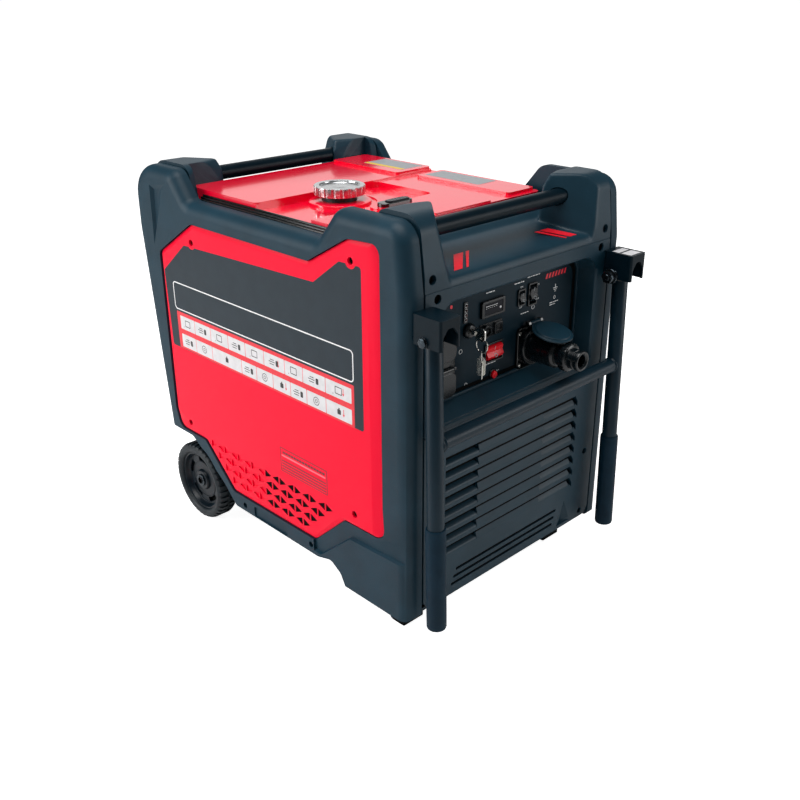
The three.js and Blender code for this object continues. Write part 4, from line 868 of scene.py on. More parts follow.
def outline_band(corners, width):
    """An outline and the same outline drawn in by a width."""
    us, vs = [c[0] for c in corners], [c[1] for c in corners]
    middle = ((min(us) + max(us)) / 2, (min(vs) + max(vs)) / 2)
    inner = [(u + math.copysign(width, middle[0] - u), v + math.copysign(width, middle[1] - v),
              max(r - width, 0.5)) for u, v, r in corners]
    return corners, inner


def raised_band(axis, band, at, depth, side=1):
    outer, inner = band
    bm = slab(axis, outer, at, at + depth)
    hole = slab(axis, inner, at - 1, at + depth + 1)
    return mirrored(carve(bm, hole), side)


def cover_plate_and_screws(side, name):
    """The embossed fine-line plate and the recessed screws of one side cover."""
    face = COVER_FACE
    foot = face - 0.3
    lines = [slab("x", rectangle(-139, -14, z, z + 2), foot, face + 0.1)
             for z in (233.5, 239.1, 244.7, 250.3)]
    lines += [slab("x", rectangle(u, u + 6.5, 266.6, 270.6, 1), foot, face + 0.1)
              for u in range(-136, -20, 8)]
    edge = slab("x", rectangle(-142.5, -10, 229, 277.5, 1), foot, face + 0.12)
    edge = carve(edge, slab("x", rectangle(-141.2, -11.3, 230.3, 276.2, 0.5), face - 1,
                            face + 1))
    bar = slab("x", rectangle(-138, -14, 260.5, 263.5, 1.2), foot, face + 0.28)
    finished(mirrored(bar, side), "fine_plate_bar_" + name, pale_red_ink(), "housing")
    finished(mirrored(merge(edge, *lines), side), "fine_line_plate_" + name, dark_red_ink(),
             "housing")
    # Screw heads deep in their seats, in the matt black of painted shade that darkens the seats.
    heads = bmesh.new()
    for y, z in COVER_SCREWS:
        head = turned("x", (0, y, z), [(0, face - 6.5), (6.2, face - 6.5), (6.2, face - 5),
                                       (4.6, face - 4), (0, face - 3.6)], 32)
        merge(heads, carve(head, turned("x", (0, y, z), [
            (0, face - 5.4), (2.2, face - 5.4), (2.2, face + 1), (0, face + 1)], 6)))
    shade_piece(mirrored(heads, side), "cover_screws_" + name)


# ---- Top covers, lift bars, red top ----------------------------------------

FLOOR_Z = PANEL_TOP + 1  # of the rear shelf
HORN_TOP = EAR_TOP + 7
HORN_SCREW_X, HORN_SCREW_Z = 218, PANEL_TOP + 19.8


def strip_outline(path, thickness):
    """Outline of a sheet bent along a path, its thickness on the right of the path."""
    points = [Vector(p) for p in path]
    normals = []
    for a, b in zip(points, points[1:]):
        along = (b - a).normalized()
        normals.append(Vector((along.y, -along.x)))
    far = []
    for i, point in enumerate(points):
        before, after = normals[max(i - 1, 0)], normals[min(i, len(normals) - 1)]
        far.append(point + (before + after) / (1 + before.dot(after)) * thickness)
    return [tuple(p) for p in points] + [tuple(p) for p in reversed(far)]


def horn(rungs, side_view):
    """One horn on the right: a tapered body inside its rounded outline from the side."""
    taper = hull([(x, y, z) for y, z, inner in rungs for x in (inner, PANEL_HALF + 20)])
    return keep_inside(taper, slab("x", side_view, 0, PANEL_HALF + 30))


def end_cover(name, shelf, horns, bar_y, node):
    """A bent shelf and its two horns, melted together and cut to the parts beside them."""
    width = panel_half()
    sheet = slab("x", strip_outline(shelf, 9), -PANEL_HALF - 12, PANEL_HALF + 12)
    bm = melted(fuse(sheet, both_sides(horns)), 2.4, 14)
    half, front, rear = TOP_HALF + FIT, TOP_FRONT - FIT, TOP_REAR + FIT
    cutters = [rod("x", (bar_y, FRONT_BAR.z), BAR_RADIUS + 1.6, s * 60, s * (BAR_HALF + FIT), 64)
               for s in (-1, 1)]
    cutters += [rod("y", (s * HORN_SCREW_X, HORN_SCREW_Z), 7.6, FRONT - 5, FRONT + 14, 40)
                for s in (-1, 1)]
    cutters.append(block(-half, half, front, rear, TOP_LOW.z - FIT, ABOVE))
    cutters += [block(s * half, s * HALF, RAIL_LOW.y - FIT, RAIL_HIGH.y + FIT,
                      RAIL_LOW.z - FIT, ABOVE) for s in (-1, 1)]
    bm = combined("INTERSECT", bm, [block(-width, width, -600, 600, PANEL_TOP + FIT, ABOVE)],
                  "MANIFOLD")
    bm = combined("DIFFERENCE", bm, cutters, "MANIFOLD")
    return finished(bm, name, smooth_abs(), "housing", [node], smooth=50)


def end_covers():
    wall_top = TOP_LOW.z - FIT
    front_y, rear_y = FRONT_BAR.y, REAR_BAR.y
    outer, foot = INNER - 2, PANEL_TOP - 30
    front_shelf = [
        (FRONT + 0.5, PANEL_TOP - 14), (FRONT + 1, PANEL_TOP + 4), (FRONT + 6, PANEL_TOP + 14),
        (FRONT + 16, PANEL_TOP + 17), (front_y + 23, PANEL_TOP + 32),
        (front_y + 38, PANEL_TOP + 34), (front_y + 52, wall_top - 2), (TOP_FRONT - 3, wall_top)]
    front_taper = [
        (FRONT - 6, foot, INNER - 63), (FRONT + 14, HORN_TOP + 6, INNER - 33),
        (front_y + 13, HORN_TOP + 6, INNER - 88), (front_y + 23, HORN_TOP - 23, INNER - 101),
        (front_y + 27, foot, INNER - 106), (front_y + 44, HORN_TOP + 6, outer),
        (TOP_FRONT - 10, foot, outer)]
    front_side = [
        (FRONT + 0.5, foot), (FRONT + 2, PANEL_TOP + 66, 20), (FRONT + 18, HORN_TOP, 34),
        (front_y + 32, HORN_TOP, 20), (TOP_FRONT - 13, PANEL_TOP + 57, 14), (TOP_FRONT - 13, foot)]
    end_cover("front_shelf_and_horns", front_shelf, horn(front_taper, front_side), front_y,
              "front_top_cover")
    rear_shelf = [
        (TOP_REAR - 2, wall_top), (TOP_REAR - 2, FLOOR_Z), (REAR - 64, FLOOR_Z + 4),
        (REAR - 54, PANEL_TOP + 37), (REAR - 20, PANEL_TOP + 32), (REAR - 12, PANEL_TOP + 17),
        (REAR - 13, PANEL_TOP + 3), (REAR - 18, PANEL_TOP - 16)]
    rear_front = REAR - 183 + 6
    rear_taper = [
        (REAR - 4, foot, INNER - 63), (REAR - 40, EAR_TOP + 6, INNER - 42),
        (rear_y - 8, EAR_TOP + 6, INNER - 86), (rear_y - 17, EAR_TOP - 20, INNER - 97),
        (rear_y - 22, foot, INNER - 103), (rear_y - 42, EAR_TOP + 6, outer),
        (rear_front, foot, outer)]
    rear_side = [
        (rear_front, foot), (rear_front, PANEL_TOP + 62, 14), (rear_y - 32, EAR_TOP, 20),
        (REAR - 40, EAR_TOP, 34), (REAR - 13, PANEL_TOP + 52, 24), (REAR - 16, foot)]
    end_cover("rear_shelf_and_horns", rear_shelf, horn(rear_taper, rear_side), rear_y,
              "rear_top_cover")
    # Screw heads deep in their bores, in the matt black of painted shade that darkens the bores.
    heads = [turned("y", (side * HORN_SCREW_X, 0, HORN_SCREW_Z), [
        (0, FRONT + 11), (7.4, FRONT + 11), (7.4, FRONT + 9), (5, FRONT + 8), (0, FRONT + 8)],
        32) for side, _ in SIDES]
    shade_piece(merge(*heads), "horn_screws")


def shelf_stripes():
    """A wide and a narrow red stripe at both ends of the front shelf."""
    whole = bmesh.new()
    low, high = (FRONT + 17, PANEL_TOP + 17.6), (FRONT_BAR.y - 9, PANEL_TOP + 28.4)
    for front_x, back_x, width in ((136, 97, 19), (122, 83, 5)):
        patch = hull([(x, y, z + lift) for lift in (-0.6, 0.35) for (y, z), x in (
            (low, front_x), (low, front_x + width), (high, back_x), (high, back_x + width + 3))])
        merge(whole, both_sides(patch))
    finished(whole, "shelf_stripes", red_ink(), "housing")


def lift_bars():
    bars = [rod("x", (bar.y, bar.z), BAR_RADIUS, -BAR_HALF, BAR_HALF, 96)
            for bar in (FRONT_BAR, REAR_BAR)]
    finished(merge(*bars), "lift_bars", shaded_powder_coat(), "housing",
             ["front_lift_bar", "rear_lift_bar"])


def oval(x, y, long, wide):
    """Outline of a rounded bar around a point."""
    return rectangle(x - long / 2, x + long / 2, y - wide / 2, y + wide / 2, wide / 2 - 0.5)


GAUGE_X, GAUGE_Y = -64, -100  # middle of the fuel gauge


def red_top():
    """The red cover: a step, pads, a lip and the well with its collar round the filler."""
    low, z, front, rear = TOP_LOW.z, TOP_Z, TOP_FRONT, TOP_REAR
    well_front, well_rear, well_right = CAP.y - 99, CAP.y + 53, CAP.x + 140
    bm = slab("z", rectangle(-TOP_HALF, TOP_HALF, front, rear, 14), low, z)
    step = slab("z", rectangle(-TOP_HALF, TOP_HALF, well_rear, rear, 10), z - 3, z + 3)
    rear_pad = slab("z", rectangle(TOP_HALF - 97, TOP_HALF - 2, well_rear + 5, rear - 4, 8),
                    z, z + 8)
    front_pad = slab("z", rectangle(TOP_HALF - 77, TOP_HALF - 2, front + 14, well_rear - 27, 8),
                     z - 2, z + 5)
    gauge_pad = slab("z", oval(GAUGE_X, GAUGE_Y, 98, 48), z - 2, z + 6)
    lip = slab("z", rectangle(-55, 85, front + 2, front + 10, 3), z - 2, z + 3)
    bm = fuse(bm, step, rear_pad, front_pad, gauge_pad, lip)
    well = slab("z", rectangle(-TOP_HALF - 20, well_right, well_front, well_rear, 14), z - 11,
                z + 20)
    bm = carve(bm, well, rod("z", (CAP.x, CAP.y), 30.3, low - 1, z, 64),
               slab("z", oval(GAUGE_X, GAUGE_Y, 72.6, 26.6), z - 4, z + 20))
    collar = turned("z", (CAP.x, CAP.y, 0), [
        (31, z - 12), (58, z - 12), (57, z - 6), (54, z - 4.5), (33, z - 4.5)], 96)
    ridge = turned("z", (CAP.x, CAP.y, 0), [
        (66, z - 12), (76, z - 12), (74.5, z - 8.6), (67.5, z - 8.6)], 96)
    ridge = keep_inside(ridge, block(CAP.x + 12, CAP.x + 90, CAP.y - 90, CAP.y + 90, z - 20,
                                     z + 5))
    finished(fuse(bm, collar, ridge), "red_top_cover", gloss_red_abs(), "housing",
             ["top_cover"], 5.0, 5, 33)
    labels = [slab("z", rectangle(x, TOP_HALF - 10, y0, y1, 2), top - 0.2, top + 0.15)
              for x, y0, y1, top in (
                  (TOP_HALF - 72, well_rear + 20, rear - 75, z + 8),
                  (TOP_HALF - 62, front + 100, well_rear - 37, z + 5))]
    printed(merge(*labels), "top_labels", grey_ink())
    line = slab("z", rectangle(TOP_HALF - 71, TOP_HALF - 60, well_rear + 21, rear - 76, 1),
                z + 7.9, z + 8.25)
    printed(line, "top_label_line", yellow_ink())


def top_rails():
    """Three polished ridges that climb from each side frame to the red top."""
    inside, outside = TOP_HALF + 0.4, PANEL_HALF - 0.4
    step = (outside - inside) / 3
    for side, name in SIDES:
        ridges = bmesh.new()
        for k in range(3):
            x = inside + k * step
            ridge = slab("y", [(x + 0.4, RAIL_LOW.z), (x + step - 0.8, RAIL_LOW.z),
                               (x + step - 0.8, VALLEY + 8 - 3 * k, 1.6),
                               (x + 0.4, VALLEY + 8 - 3 * k, 1.6)], RAIL_LOW.y, RAIL_HIGH.y)
            merge(ridges, ridge)
        base = block(inside, outside, RAIL_LOW.y, RAIL_HIGH.y, RAIL_LOW.z, VALLEY - 6)
        finished(mirrored(merge(ridges, base), side), "grooved_rail_" + name, gloss_black(),
                 "housing", ["top_rail_" + name])


def filler_cap():
    seat, top = CAP_HIGH.z - 18, CAP_HIGH.z
    r = CAP_RADIUS
    body = turned("z", (CAP.x, CAP.y, 0), [
        (0, seat - 10), (26.7, seat - 10), (26.7, seat + 1), (r - 3, seat + 1),
        (r - 1, seat + 1.6), (r - 0.2, seat + 3), (r - 0.2, top - 2), (r - 0.9, top - 0.8),
        (r - 2.4, top - 0.3), (r - 9.5, top - 0.3), (r - 10.3, top - 0.7), (r - 11.2, top - 3.2),
        (r - 12.5, top - 4), (r * 0.35, top - 3.2), (r * 0.3, top - 2.4), (0, top - 2.4)], 144)
    scallop = rod("z", (CAP.x + r + 3.2, CAP.y), 5.2, seat - 1, top + 1, 24)
    body = carve(body, around(scallop, "z", (CAP.x, CAP.y, 0), 20))
    finished(body, "scalloped_filler_cap", turned_alloy(), "fuel_cap",
             ["fuel_cap"], 0.7, 3, 35)


def gauge():
    low, high = span("fuel_gauge")
    body = slab("z", oval(GAUGE_X, GAUGE_Y, 72, 26), low.z, high.z - 2)
    window = slab("z", oval(GAUGE_X + 6, GAUGE_Y, 50, 16), high.z - 4, high.z)
    body = carve(body, slab("z", oval(GAUGE_X + 6, GAUGE_Y, 50.6, 16.6), high.z - 5, high.z + 2))
    finished(body, "gauge_housing", gloss_black(), "housing", ["fuel_gauge"],
             1.6, 3)
    finished(window, "gauge_window", display_glass(), "housing", (), 0.8, 3)
    marks = [rectangle(-74 + k * 8, -72.6 + k * 8, -104, -97, 0.3) for k in range(5)]
    needle = [(-60, -103.5), (-56.4, -96), (-57.6, -95.7)]
    printed(merge(*[slab("z", shape, high.z - 0.1, high.z) for shape in (*marks, needle)]),
            "gauge_marks", white_ink())


# ---- Front panels -----------------------------------------------------------


def loft(axis, near, near_at, far, far_at, steps=8):
    """A convex body between two outlines at two heights."""
    points = []
    for corners, at in ((near, near_at), (far, far_at)):
        bm = outline_face(axis, corners, at, steps)
        points += [v.co.copy() for v in bm.verts]
        bm.free()
    return hull(points)


RECESS_HALF, RECESS_TOP, RECESS_SILL = INNER - 38, PANEL_TOP - 24, PANEL_TOP - 226
LEDGE_TOP = RECESS_SILL + 21
PLATE_HALF, PLATE_TOP = RECESS_HALF - 10, RECESS_TOP - 4


PANEL_SCREWS = ((207.7, 620.9, 7.4), (209, 217, 5.8), (208.4, 83.4, 5.8))  # x, z, radius


def plate_outline(inset):
    """Outline of the control panel, drawn in by an inset."""
    half, low, high = PLATE_HALF - inset, LEDGE_TOP + inset, PLATE_TOP - inset
    return [(-half, low, 6), (half, low, 6), (half, high, 26), (-half, high, 26)]


def bezel():
    half = panel_half()
    face = slab("y", rectangle(-half, half, BEZEL_BOTTOM, PANEL_TOP, 3), FRONT + 4, FRONT)
    tunnel = block(-RECESS_HALF - 4, RECESS_HALF + 4, FRONT + 1, SEAT, RECESS_SILL - 4,
                   RECESS_TOP + 4)
    mouth = [(-RECESS_HALF, RECESS_SILL, 10), (RECESS_HALF, RECESS_SILL, 10),
             (RECESS_HALF, RECESS_TOP, 34), (-RECESS_HALF, RECESS_TOP, 34)]
    end = [(-PLATE_HALF, LEDGE_TOP, 6), (PLATE_HALF, LEDGE_TOP, 6),
           (PLATE_HALF, PLATE_TOP, 28), (-PLATE_HALF, PLATE_TOP, 28)]
    bm = fuse(face, tunnel)
    lip = loft("y", [(u * 1.015, v + (2.5 if v > 500 else -2.5), r) for u, v, r in mouth],
               FRONT - 0.1, mouth, FRONT + 2.5)
    x, z, r = PANEL_SCREWS[0]
    cups = [rod("y", (s * x, z), r + 0.2, FRONT - 2, FRONT + 12, 40) for s in (-1, 1)]
    bm = carve(bm, loft("y", mouth, FRONT - 1, end, PLATE_Y), lip, *cups)
    finished(bm, "recess_bezel", smooth_abs(), "housing", ["control_bezel"],
             edge_width())
    bead = slab("y", plate_outline(-1), PLATE_Y - 0.2, PLATE_Y - 5, 2, 4)
    bead = carve(bead, slab("y", plate_outline(4.5), PLATE_Y - 8, PLATE_Y + 8))
    finished(bead, "recess_bead", smooth_abs(), "housing", (), 0.9, 3)
    # A thin black ring round the control panel: painted shade of the groove between the panel and
    # its bead.
    gap = carve(slab("y", plate_outline(4), PLATE_Y - 0.1, PLATE_Y - 0.5),
                slab("y", plate_outline(11), PLATE_Y - 8, PLATE_Y + 8))
    shade_piece(gap, "recess_shade_ring")


def louvre(x0, x1, z, depth, opening):
    """A hollow between two x's that leans in from the skin to a slot under its upper lip."""
    return slab("x", [(FRONT - 1, z - 19.6), (FRONT, z - 19.6), (FRONT + depth * 0.3, z - 15),
                      (FRONT + depth, z - opening), (FRONT + 20, z - opening), (FRONT + 20, z),
                      (FRONT - 1, z)], x0, x1)


def slot_shade_sheet(x0, x1, low, high, depth):
    """A black sheet just behind the skin: painted shade for the inside of a slot."""
    return block(x0, x1, FRONT + depth, FRONT + depth + 0.5, low, high)


def grille():
    """The front cover: eight louvres in three fields, three short slots and four screws."""
    low, high = GRILLE_LOW.z, GRILLE_HIGH.z
    side, skin = panel_half(), FRONT + 11
    bm = slab("y", [(-side + 8, low, 20), (side - 8, low, 20), (side, low + 16, 6),
                    (side, high, 2), (-side, high, 2), (-side, low + 16, 6)], skin, FRONT)
    depth = sizes().louvre_depth * 1000
    top, pitch, left, right = high - 51.7, 24.6, 60 - INNER - 6, INNER - 60 - 4
    cuts, dark = [], []
    for k in range(8):
        z = top - k * pitch
        cuts += [louvre(left, -101, z, depth, 11), louvre(-101.3, 75.3, z, depth * 0.4, 6.5),
                 louvre(75, right - 8, z, depth * 0.7, 9)]
        dark += [slot_shade_sheet(left + 0.3, -101.2, z - 10.9, z - 0.3, depth + 0.1),
                 slot_shade_sheet(-101, 75, z - 6.4, z - 0.3, depth * 0.4 + 0.1),
                 slot_shade_sheet(75.2, right - 8.4, z - 8.9, z - 0.3, depth * 0.7 + 0.1)]
        corner = [(right - 8.3, z - 14), (right, z - 22), (right, z - 12), (right - 8.3, z)]
        cuts.append(slab("y", corner, FRONT - 1, skin + 1))
    for k, (x0, x1) in enumerate(((-154, 129), (-160, 124), (-166, 119))):
        z = low + 47 - k * 13.6
        cuts.append(slab("y", rectangle(x0, x1, z - 2.8, z + 2.8, 2.7), FRONT - 1, skin + 1))
        dark.append(slot_shade_sheet(x0 + 1, x1 - 1, z - 2.7, z + 2.7, 2.6))
    cuts += [rod("y", (s * x, z), r + 0.2, FRONT - 2, FRONT + 9, 40)
             for x, z, r in PANEL_SCREWS[1:] for s in (-1, 1)]
    for tip in (132, 176):
        cuts.append(hull([(tip, FRONT - 0.5, 77), (154, FRONT - 0.5, 129),
                          (154, FRONT + 8, 79), (154, FRONT - 0.5, 77),
                          (154, FRONT + 3, 120)]))
    finished(carve(bm, *cuts), "grille_cover", smooth_abs(), "housing",
             ["front_grille"], 0.7)
    # A black sheet behind the louvres: painted shade for the inside of the grille.
    shade_backdrop = block(left, right, skin + 0.6, skin + 1.1, low + 12, high - 40)
    shade_piece(merge(shade_backdrop, *dark), "grille_shade_backdrop")


def panel_screws():
    # The heads sit deep in their cups, in the matt black of painted shade.
    whole, y = bmesh.new(), FRONT + 8
    for x, z, r in PANEL_SCREWS:
        head = turned("y", (x, 0, z), [(0, y + 1), (r, y + 1), (r, y - 0.6), (r * 0.7, y - 1.4),
                                       (0, y - 1.4)], 32)
        merge(whole, both_sides(carve(head, turned("y", (x, 0, z), [
            (0, y - 3), (r * 0.4, y - 3), (r * 0.4, y + 0.2), (0, y + 0.2)], 6))))
    shade_piece(whole, "panel_screws")


ROCKERS = ("engine_rocker", "idle_rocker", "breaker_rocker")
ROCKER_DISH = PLATE_Y - 3.825  # where the two faces of a rocker meet
ROCKER_RUN = 2.6  # height of a rocker's face for each millimetre that it rises
ROCKER_REST = math.degrees(-0.17)
RESET_LOW, RESET_HIGH = span("reset_button")
RESET = (RESET_LOW + RESET_HIGH) / 2


def rocker_place(node):
    """Middle, half width and drum radius of a rocker, and its pivot's y."""
    low, high = span(node)
    middle = (low + high) / 2
    radius = (high.z - low.z) / 2
    return middle, (high.x - low.x) / 2, radius, high.y - radius


def control_plate():
    low, high = LEDGE_TOP - 3.7, PLATE_TOP + 3.7
    half = PLATE_HALF + 3.7
    bm = slab("y", [(-half, low, 4), (half, low, 4), (half, high, 28), (-half, high, 28)],
              PLATE_Y + 3, PLATE_Y)
    rims, holes = [], []
    for node in ROCKERS:
        middle, half_width, radius, _ = rocker_place(node)
        w, h = half_width + 0.5, radius + 0.5
        rims.append(slab("y", rectangle(middle.x - w - 3, middle.x + w + 3, middle.z - h - 3,
                                        middle.z + h + 3, 3), PLATE_Y + 1, PLATE_Y - 3))
        holes.append(block(middle.x - w, middle.x + w, PLATE_Y - 9, PLATE_Y + 9, middle.z - h,
                           middle.z + h))
    ring = turned("y", (RESET.x, 0, RESET.z), [
        (6.8, PLATE_Y + 1), (6.8, PLATE_Y - 2.4), (8, PLATE_Y - 3), (9.2, PLATE_Y - 3),
        (10, PLATE_Y - 2), (10, PLATE_Y + 1)], 48)
    reset_hole = rod("y", (RESET.x, RESET.z), 6.8, PLATE_Y - 9, PLATE_Y + 9, 48)
    rims = carve(merge(*rims), *[hole.copy() for hole in holes])
    finished(carve(bm, *holes, reset_hole), "control_panel", dark_film(), "housing",
             ["control_plate"], 0.5)
    finished(merge(rims, ring), "switch_surrounds", dull_black(), "housing",
             (), 0.7, 3)


def rocker(node, material):
    middle, half_width, radius, pivot_y = rocker_place(node)
    drum = rod("x", (pivot_y, middle.z), radius, middle.x - half_width, middle.x + half_width, 96)
    reach = 2 * radius + 1
    rise, front = ROCKER_RUN * reach, ROCKER_DISH - reach
    notch = slab("x", [(ROCKER_DISH, middle.z), (front, middle.z + rise),
                       (front, middle.z - rise)], middle.x - 40, middle.x + 40)
    turn(notch, "x", (0, pivot_y, middle.z), ROCKER_REST)
    finished(carve(drum, notch), node.replace("rocker", "switch"), material, node,
             [node], 0.6, 3, 30)


def rocker_marks():
    """ON and OFF marks: a bar and a ring on each rocker, riding with it."""
    slope = math.degrees(math.atan(1 / ROCKER_RUN))
    front, back = ROCKER_DISH - 0.15, ROCKER_DISH + 0.3
    for node in ROCKERS:
        middle, half_width, radius, pivot_y = rocker_place(node)
        size = min(half_width * 0.5, radius * 0.3)
        up, down = middle.z + radius * 0.5, middle.z - radius * 0.5
        bar = block(middle.x - 0.5, middle.x + 0.5, front, back, up - size, up + size * 0.6)
        ring = turned("y", (middle.x, 0, down), [
            (size * 0.6, front), (size * 0.85, front), (size * 0.85, back), (size * 0.6, back)],
            24)
        turn(bar, "x", (0, ROCKER_DISH, middle.z), slope)
        turn(ring, "x", (0, ROCKER_DISH, middle.z), -slope)
        marks = turn(merge(bar, ring), "x", (0, pivot_y, middle.z), ROCKER_REST)
        finished(marks, node.replace("rocker", "switch_marks"), grey_ink(), node)


def switches():
    rocker("engine_rocker", dull_black())
    rocker("idle_rocker", dull_black())
    rocker("breaker_rocker", red_switch())
    rocker_marks()
    bm = turned("y", (RESET.x, 0, RESET.z), [
        (0, RESET_HIGH.y), (6.5, RESET_HIGH.y), (6.5, RESET_LOW.y + 1.2), (5.6, RESET_LOW.y + 0.3),
        (3, RESET_LOW.y), (0, RESET_LOW.y)], 48)
    finished(bm, "reset_knob", red_switch(), "reset_button", ["reset_button"])


def display():
    low, high = span("display")
    middle = (low + high) / 2

    def outline(u, v, radius):
        """The frame's outline, drawn in by u at its ends and by v above and below."""
        return rectangle(low.x + u, high.x - u, low.z + v, high.z - v, radius)

    body = slab("y", outline(0, 0, 3), high.y, low.y, 1.2, 4)
    body = carve(body, slab("y", outline(6, 4.5, 1.5), low.y - 2, low.y + 1.6))
    finished(body, "display_frame", dull_black(), "housing", ["display"], 0.5)
    window = slab("y", outline(6.2, 4.7, 1.4), low.y + 1.7, low.y + 0.9)
    printed(window, "display_window", display_glass())
    back, front = low.y + 0.9, low.y + 0.8
    marks = bmesh.new()
    for k in range(6):
        x = middle.x - 19 + k * 5
        for width, rise, height, radius in ((3.2, 4.4, 1.2, 0.3), (2.0, 1.6, 0.7, 0.2)):
            z = middle.z + rise
            merge(marks, slab("y", rectangle(x, x + width, z, z + height, radius), back, front))
    merge(marks, turned("y", (middle.x + 17.5, 0, middle.z - 2.5), [
        (0, back), (2.4, back), (2.4, front), (0, front)], 6))
    printed(marks, "display_marks", white_ink())


def indicator_lamps():
    low, high = span("indicator_strip")
    x = (low.x + high.x) / 2
    strip = slab("y", rectangle(low.x, high.x, low.z, high.z, 2), high.y, high.y - 2)
    finished(strip, "lamp_strip", dull_black(), "housing", ["indicator_strip"],
             0.4)
    lamps, rings = bmesh.new(), bmesh.new()
    for rise in (6, 14, 22, 30):
        at = (x, 0, low.z + rise)
        merge(lamps, turned("y", at, [(0, high.y - 1), (2.2, high.y - 1), (2.2, high.y - 3.4),
                                      (1.4, high.y - 4.3), (0, high.y - 4.5)], 24))
        merge(rings, turned("y", at, [(2.5, high.y - 1.8), (3.1, high.y - 1.8),
                                      (3.1, high.y - 2.15), (2.5, high.y - 2.15)], 24))
    printed(lamps, "lamps", lamp_lens())
    printed(rings, "lamp_rings", white_ink())


def low_voltage_sockets():
    low, high = span("socket_pair")
    z, round_x, square_x = (low.z + high.z) / 2, low.x + 14, high.x - 12
    strip = slab("y", rectangle(low.x, high.x, low.z, high.z, 3), high.y, high.y - 2)
    cup = turned("y", (round_x, 0, z), [
        (0, high.y - 1), (11, high.y - 1), (11, high.y - 7), (10, high.y - 8), (8, high.y - 8),
        (8, high.y - 3), (3.6, high.y - 3), (3.6, high.y - 6.6), (0, high.y - 6.6)], 64)
    square = slab("y", rectangle(square_x - 10, square_x + 10, z - 10, z + 10, 2.5), high.y - 1,
                  high.y - 6, 1, 3)
    square = carve(square, block(square_x - 7, square_x + 7, high.y - 9, high.y - 3, z - 4.5,
                                 z + 4.5))
    tongue = block(square_x - 5, square_x + 5, high.y - 5, high.y - 2, z - 1.2, z + 1.6)
    finished(merge(strip, cup, square, tongue), "round_and_square_socket", dull_black(),
             "housing", ["socket_pair"], 0.3)


def split_ring(centre):
    """The wire ring of the key, drawn round a point in the plane across x."""
    loop = bmesh.new()
    on_ring = centre + Vector((0, 12, 0))
    circle = bmesh.ops.create_circle(loop, radius=1.1, segments=12)["verts"]
    bmesh.ops.rotate(loop, verts=circle, matrix=Matrix.Rotation(math.pi / 2, 3, "Y"))
    bmesh.ops.translate(loop, verts=circle, vec=on_ring)
    turn(loop, "y", on_ring, 90)
    bmesh.ops.spin(loop, geom=loop.verts[:] + loop.edges[:], cent=centre, axis=(1, 0, 0),
                   angle=math.tau, steps=48, use_merge=True)
    finished(tidy(loop), "split_ring", key_steel(), "ignition_key",
             ["key_ring"])


def key_tags(x, y, top):
    """Two oval tags that hang from the ring on short links, each turned its own way."""
    lowest = span("key_tag")[0].z
    tags = bmesh.new()
    for turn_by, foot in ((34, lowest - 21), (-20, lowest - 14)):
        tag = slab("y", rectangle(x - 7.5, x + 7.5, foot, foot + 34, 7), y - 0.8, y + 0.8)
        tag = carve(tag, rod("y", (x, foot + 28), 2.4, y - 3, y + 3, 24))
        link = slab("y", rectangle(x - 1.2, x + 1.2, foot + 28, top + 2, 1), y - 0.6, y + 0.6)
        merge(tags, turn(merge(tag, link), "z", (x, y, 0), 90 - turn_by))
    finished(tags, "key_tag_plates", key_steel(), "ignition_key", ["key_tag"],
             0.15)


def key_and_lock():
    """The lock, and the key in it with its ring and tags."""
    low, high = span("key_switch")
    x, y, z = (low.x + high.x) / 2, high.y, (low.z + high.z) / 2
    lock = turned("y", (x, 0, z), [
        (4.9, y), (4.9, y - 8), (9, y - 8), (10.4, y - 7.4), (12.2, y - 5), (13, y - 3),
        (13, y)], 64)
    finished(lock, "ignition_lock", dull_black(), "housing", ["key_switch"])
    ring_low, ring_high = span("key_ring")
    ring_y, eye_z = (ring_low.y + ring_high.y) / 2, z - 6
    shank = rod("y", (x, z), 4.4, ring_y + 12, y - 1, 32)
    bow = slab("x", rectangle(ring_y - 7, ring_y + 15, z - 11, z + 11, 7), x - 1.5, x + 1.5)
    bow = carve(bow, rod("x", (ring_y, eye_z), 1.9, x - 3, x + 3, 24))
    finished(merge(shank, bow), "ignition_key_metal", key_steel(), "ignition_key",
             ["ignition_key"], 0.3)
    split_ring(Vector((x, ring_y, eye_z - 12)))
    key_tags(x, ring_y, eye_z - 24)


